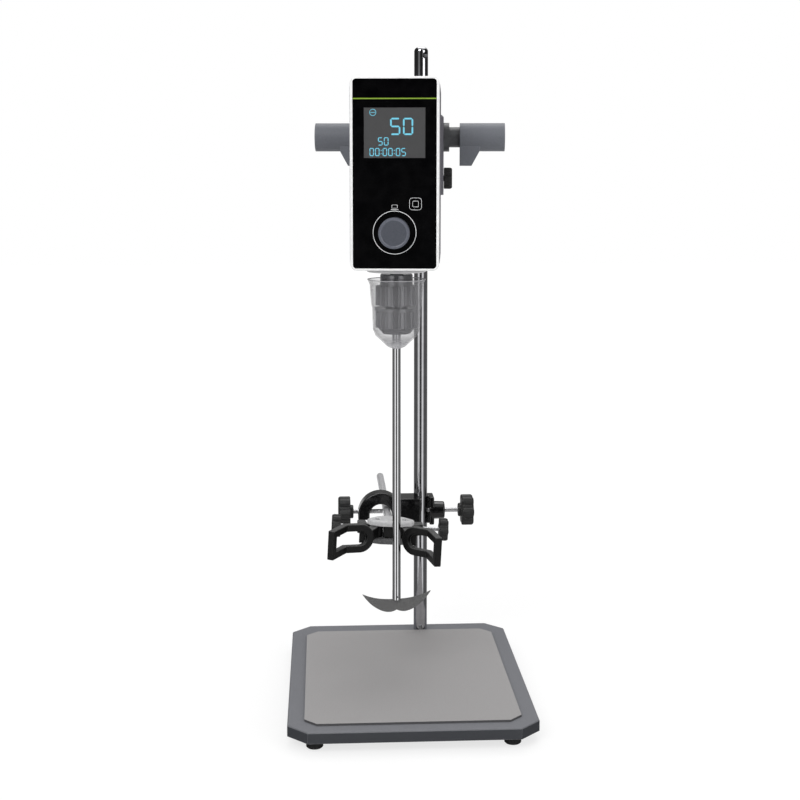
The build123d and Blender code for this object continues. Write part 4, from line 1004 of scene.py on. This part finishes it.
def maths(operation, first, second=None):
    """A maths node on a socket and a number or another socket."""
    node = tree.nodes.new("ShaderNodeMath")
    node.operation = operation
    for place, value in enumerate((first, second)):
        if isinstance(value, bpy.types.NodeSocket):
            tree.links.new(value, node.inputs[place])
        elif value is not None:
            node.inputs[place].default_value = value
    return node.outputs["Value"]


def steps(value, points):
    """A brightness that goes through the given points, each a place from 0 to 1 and a strength."""
    node = tree.nodes.new("ShaderNodeValToRGB")
    stops = node.color_ramp.elements
    for stop, (place, strength) in zip((stops[0], stops[1]), (points[0], points[-1])):
        stop.position = place
        stop.color = (strength,) * 3 + (1,)
    for place, strength in points[1:-1]:
        stops.new(place).color = (strength,) * 3 + (1,)
    tree.links.new(value, node.inputs["Fac"])
    return node.outputs["Color"]


direction = tree.nodes.new("ShaderNodeTexCoord")
axes = tree.nodes.new("ShaderNodeSeparateXYZ")
tree.links.new(direction.outputs["Generated"], axes.inputs["Vector"])
turned = maths("ARCTAN2", axes.outputs["X"], maths("MULTIPLY", axes.outputs["Y"], -1))
compass = maths("DIVIDE", maths("ABSOLUTE", maths("ADD", turned, CAMERA_SIDE)), pi)
# Straight down counts as 0 and straight up as 1.
raised = maths("MULTIPLY_ADD", axes.outputs["Z"], 0.5)
raised.node.inputs[2].default_value = 0.5
even = tree.nodes["Background"]
even.inputs["Color"].default_value = WHITE
even.inputs["Strength"].default_value = AMBIENT
room = tree.nodes.new("ShaderNodeBackground")
room.inputs["Color"].default_value = WHITE
tree.links.new(maths("MULTIPLY", steps(compass, WALLS), steps(raised, HEIGHTS)), room.inputs["Strength"])
white = tree.nodes.new("ShaderNodeBackground")
white.inputs["Color"].default_value = WHITE
white.inputs["Strength"].default_value = 1.0
path = tree.nodes.new("ShaderNodeLightPath")
reflected = tree.nodes.new("ShaderNodeMixShader")
tree.links.new(path.outputs["Is Glossy Ray"], reflected.inputs["Fac"])
tree.links.new(even.outputs["Background"], reflected.inputs[1])
tree.links.new(room.outputs["Background"], reflected.inputs[2])
shown = tree.nodes.new("ShaderNodeMixShader")
through = maths("MAXIMUM", path.outputs["Is Camera Ray"], path.outputs["Is Transmission Ray"])
tree.links.new(through, shown.inputs["Fac"])
tree.links.new(reflected.outputs["Shader"], shown.inputs[1])
tree.links.new(white.outputs["Background"], shown.inputs[2])
tree.links.new(shown.outputs["Shader"], tree.nodes["World Output"].inputs["Surface"])

# Lamps: one broad lamp high on the left in front, a weaker one on the right, and one above the stand
# and behind it.
for name, place, aim, size, watts in (
    ("key_lamp", (-1.1, -1.6, 1.9), (0, 0, 0.3), 1.4, 26),
    ("fill_lamp", (1.5, -1.4, 1.2), (0, 0, 0.3), 1.2, 10),
    ("top_lamp", (0.2, 0.9, 2.0), (0, 0.1, 0), 1.6, 17),
):
    lamp = bpy.data.lights.new(name, "AREA")
    lamp.size = size
    lamp.energy = watts
    stand = bpy.data.objects.new(name, lamp)
    stand.location = place
    stand.rotation_euler = (Vector(aim) - Vector(place)).to_track_quat("-Z", "Y").to_euler()
    bpy.context.scene.collection.objects.link(stand)

# Camera: in the photograph's place, a little to the left and in front of the stand, at four fifths of
# its height, looking slightly down and to the right. The frame is shifted down so that the plate shows.
CAMERA_PLACE = (-0.0780, -1.2959, 0.5015)
LOOK_DOWN = 6.19
LOOK_RIGHT = 3.207
LENS = 62.61
SENSOR = 36
FRAME_SHIFT = -0.1
NEAREST = 0.05

camera_data = bpy.data.cameras.new("camera")
camera_data.lens = LENS
camera_data.sensor_width = SENSOR
camera_data.shift_y = FRAME_SHIFT
camera_data.clip_start = NEAREST
camera = bpy.data.objects.new("camera", camera_data)
camera.location = CAMERA_PLACE
camera.rotation_euler = (radians(90 - LOOK_DOWN), 0, radians(-LOOK_RIGHT))
bpy.context.scene.collection.objects.link(camera)
bpy.context.scene.camera = camera
bpy.context.scene.view_settings.view_transform = "Standard"
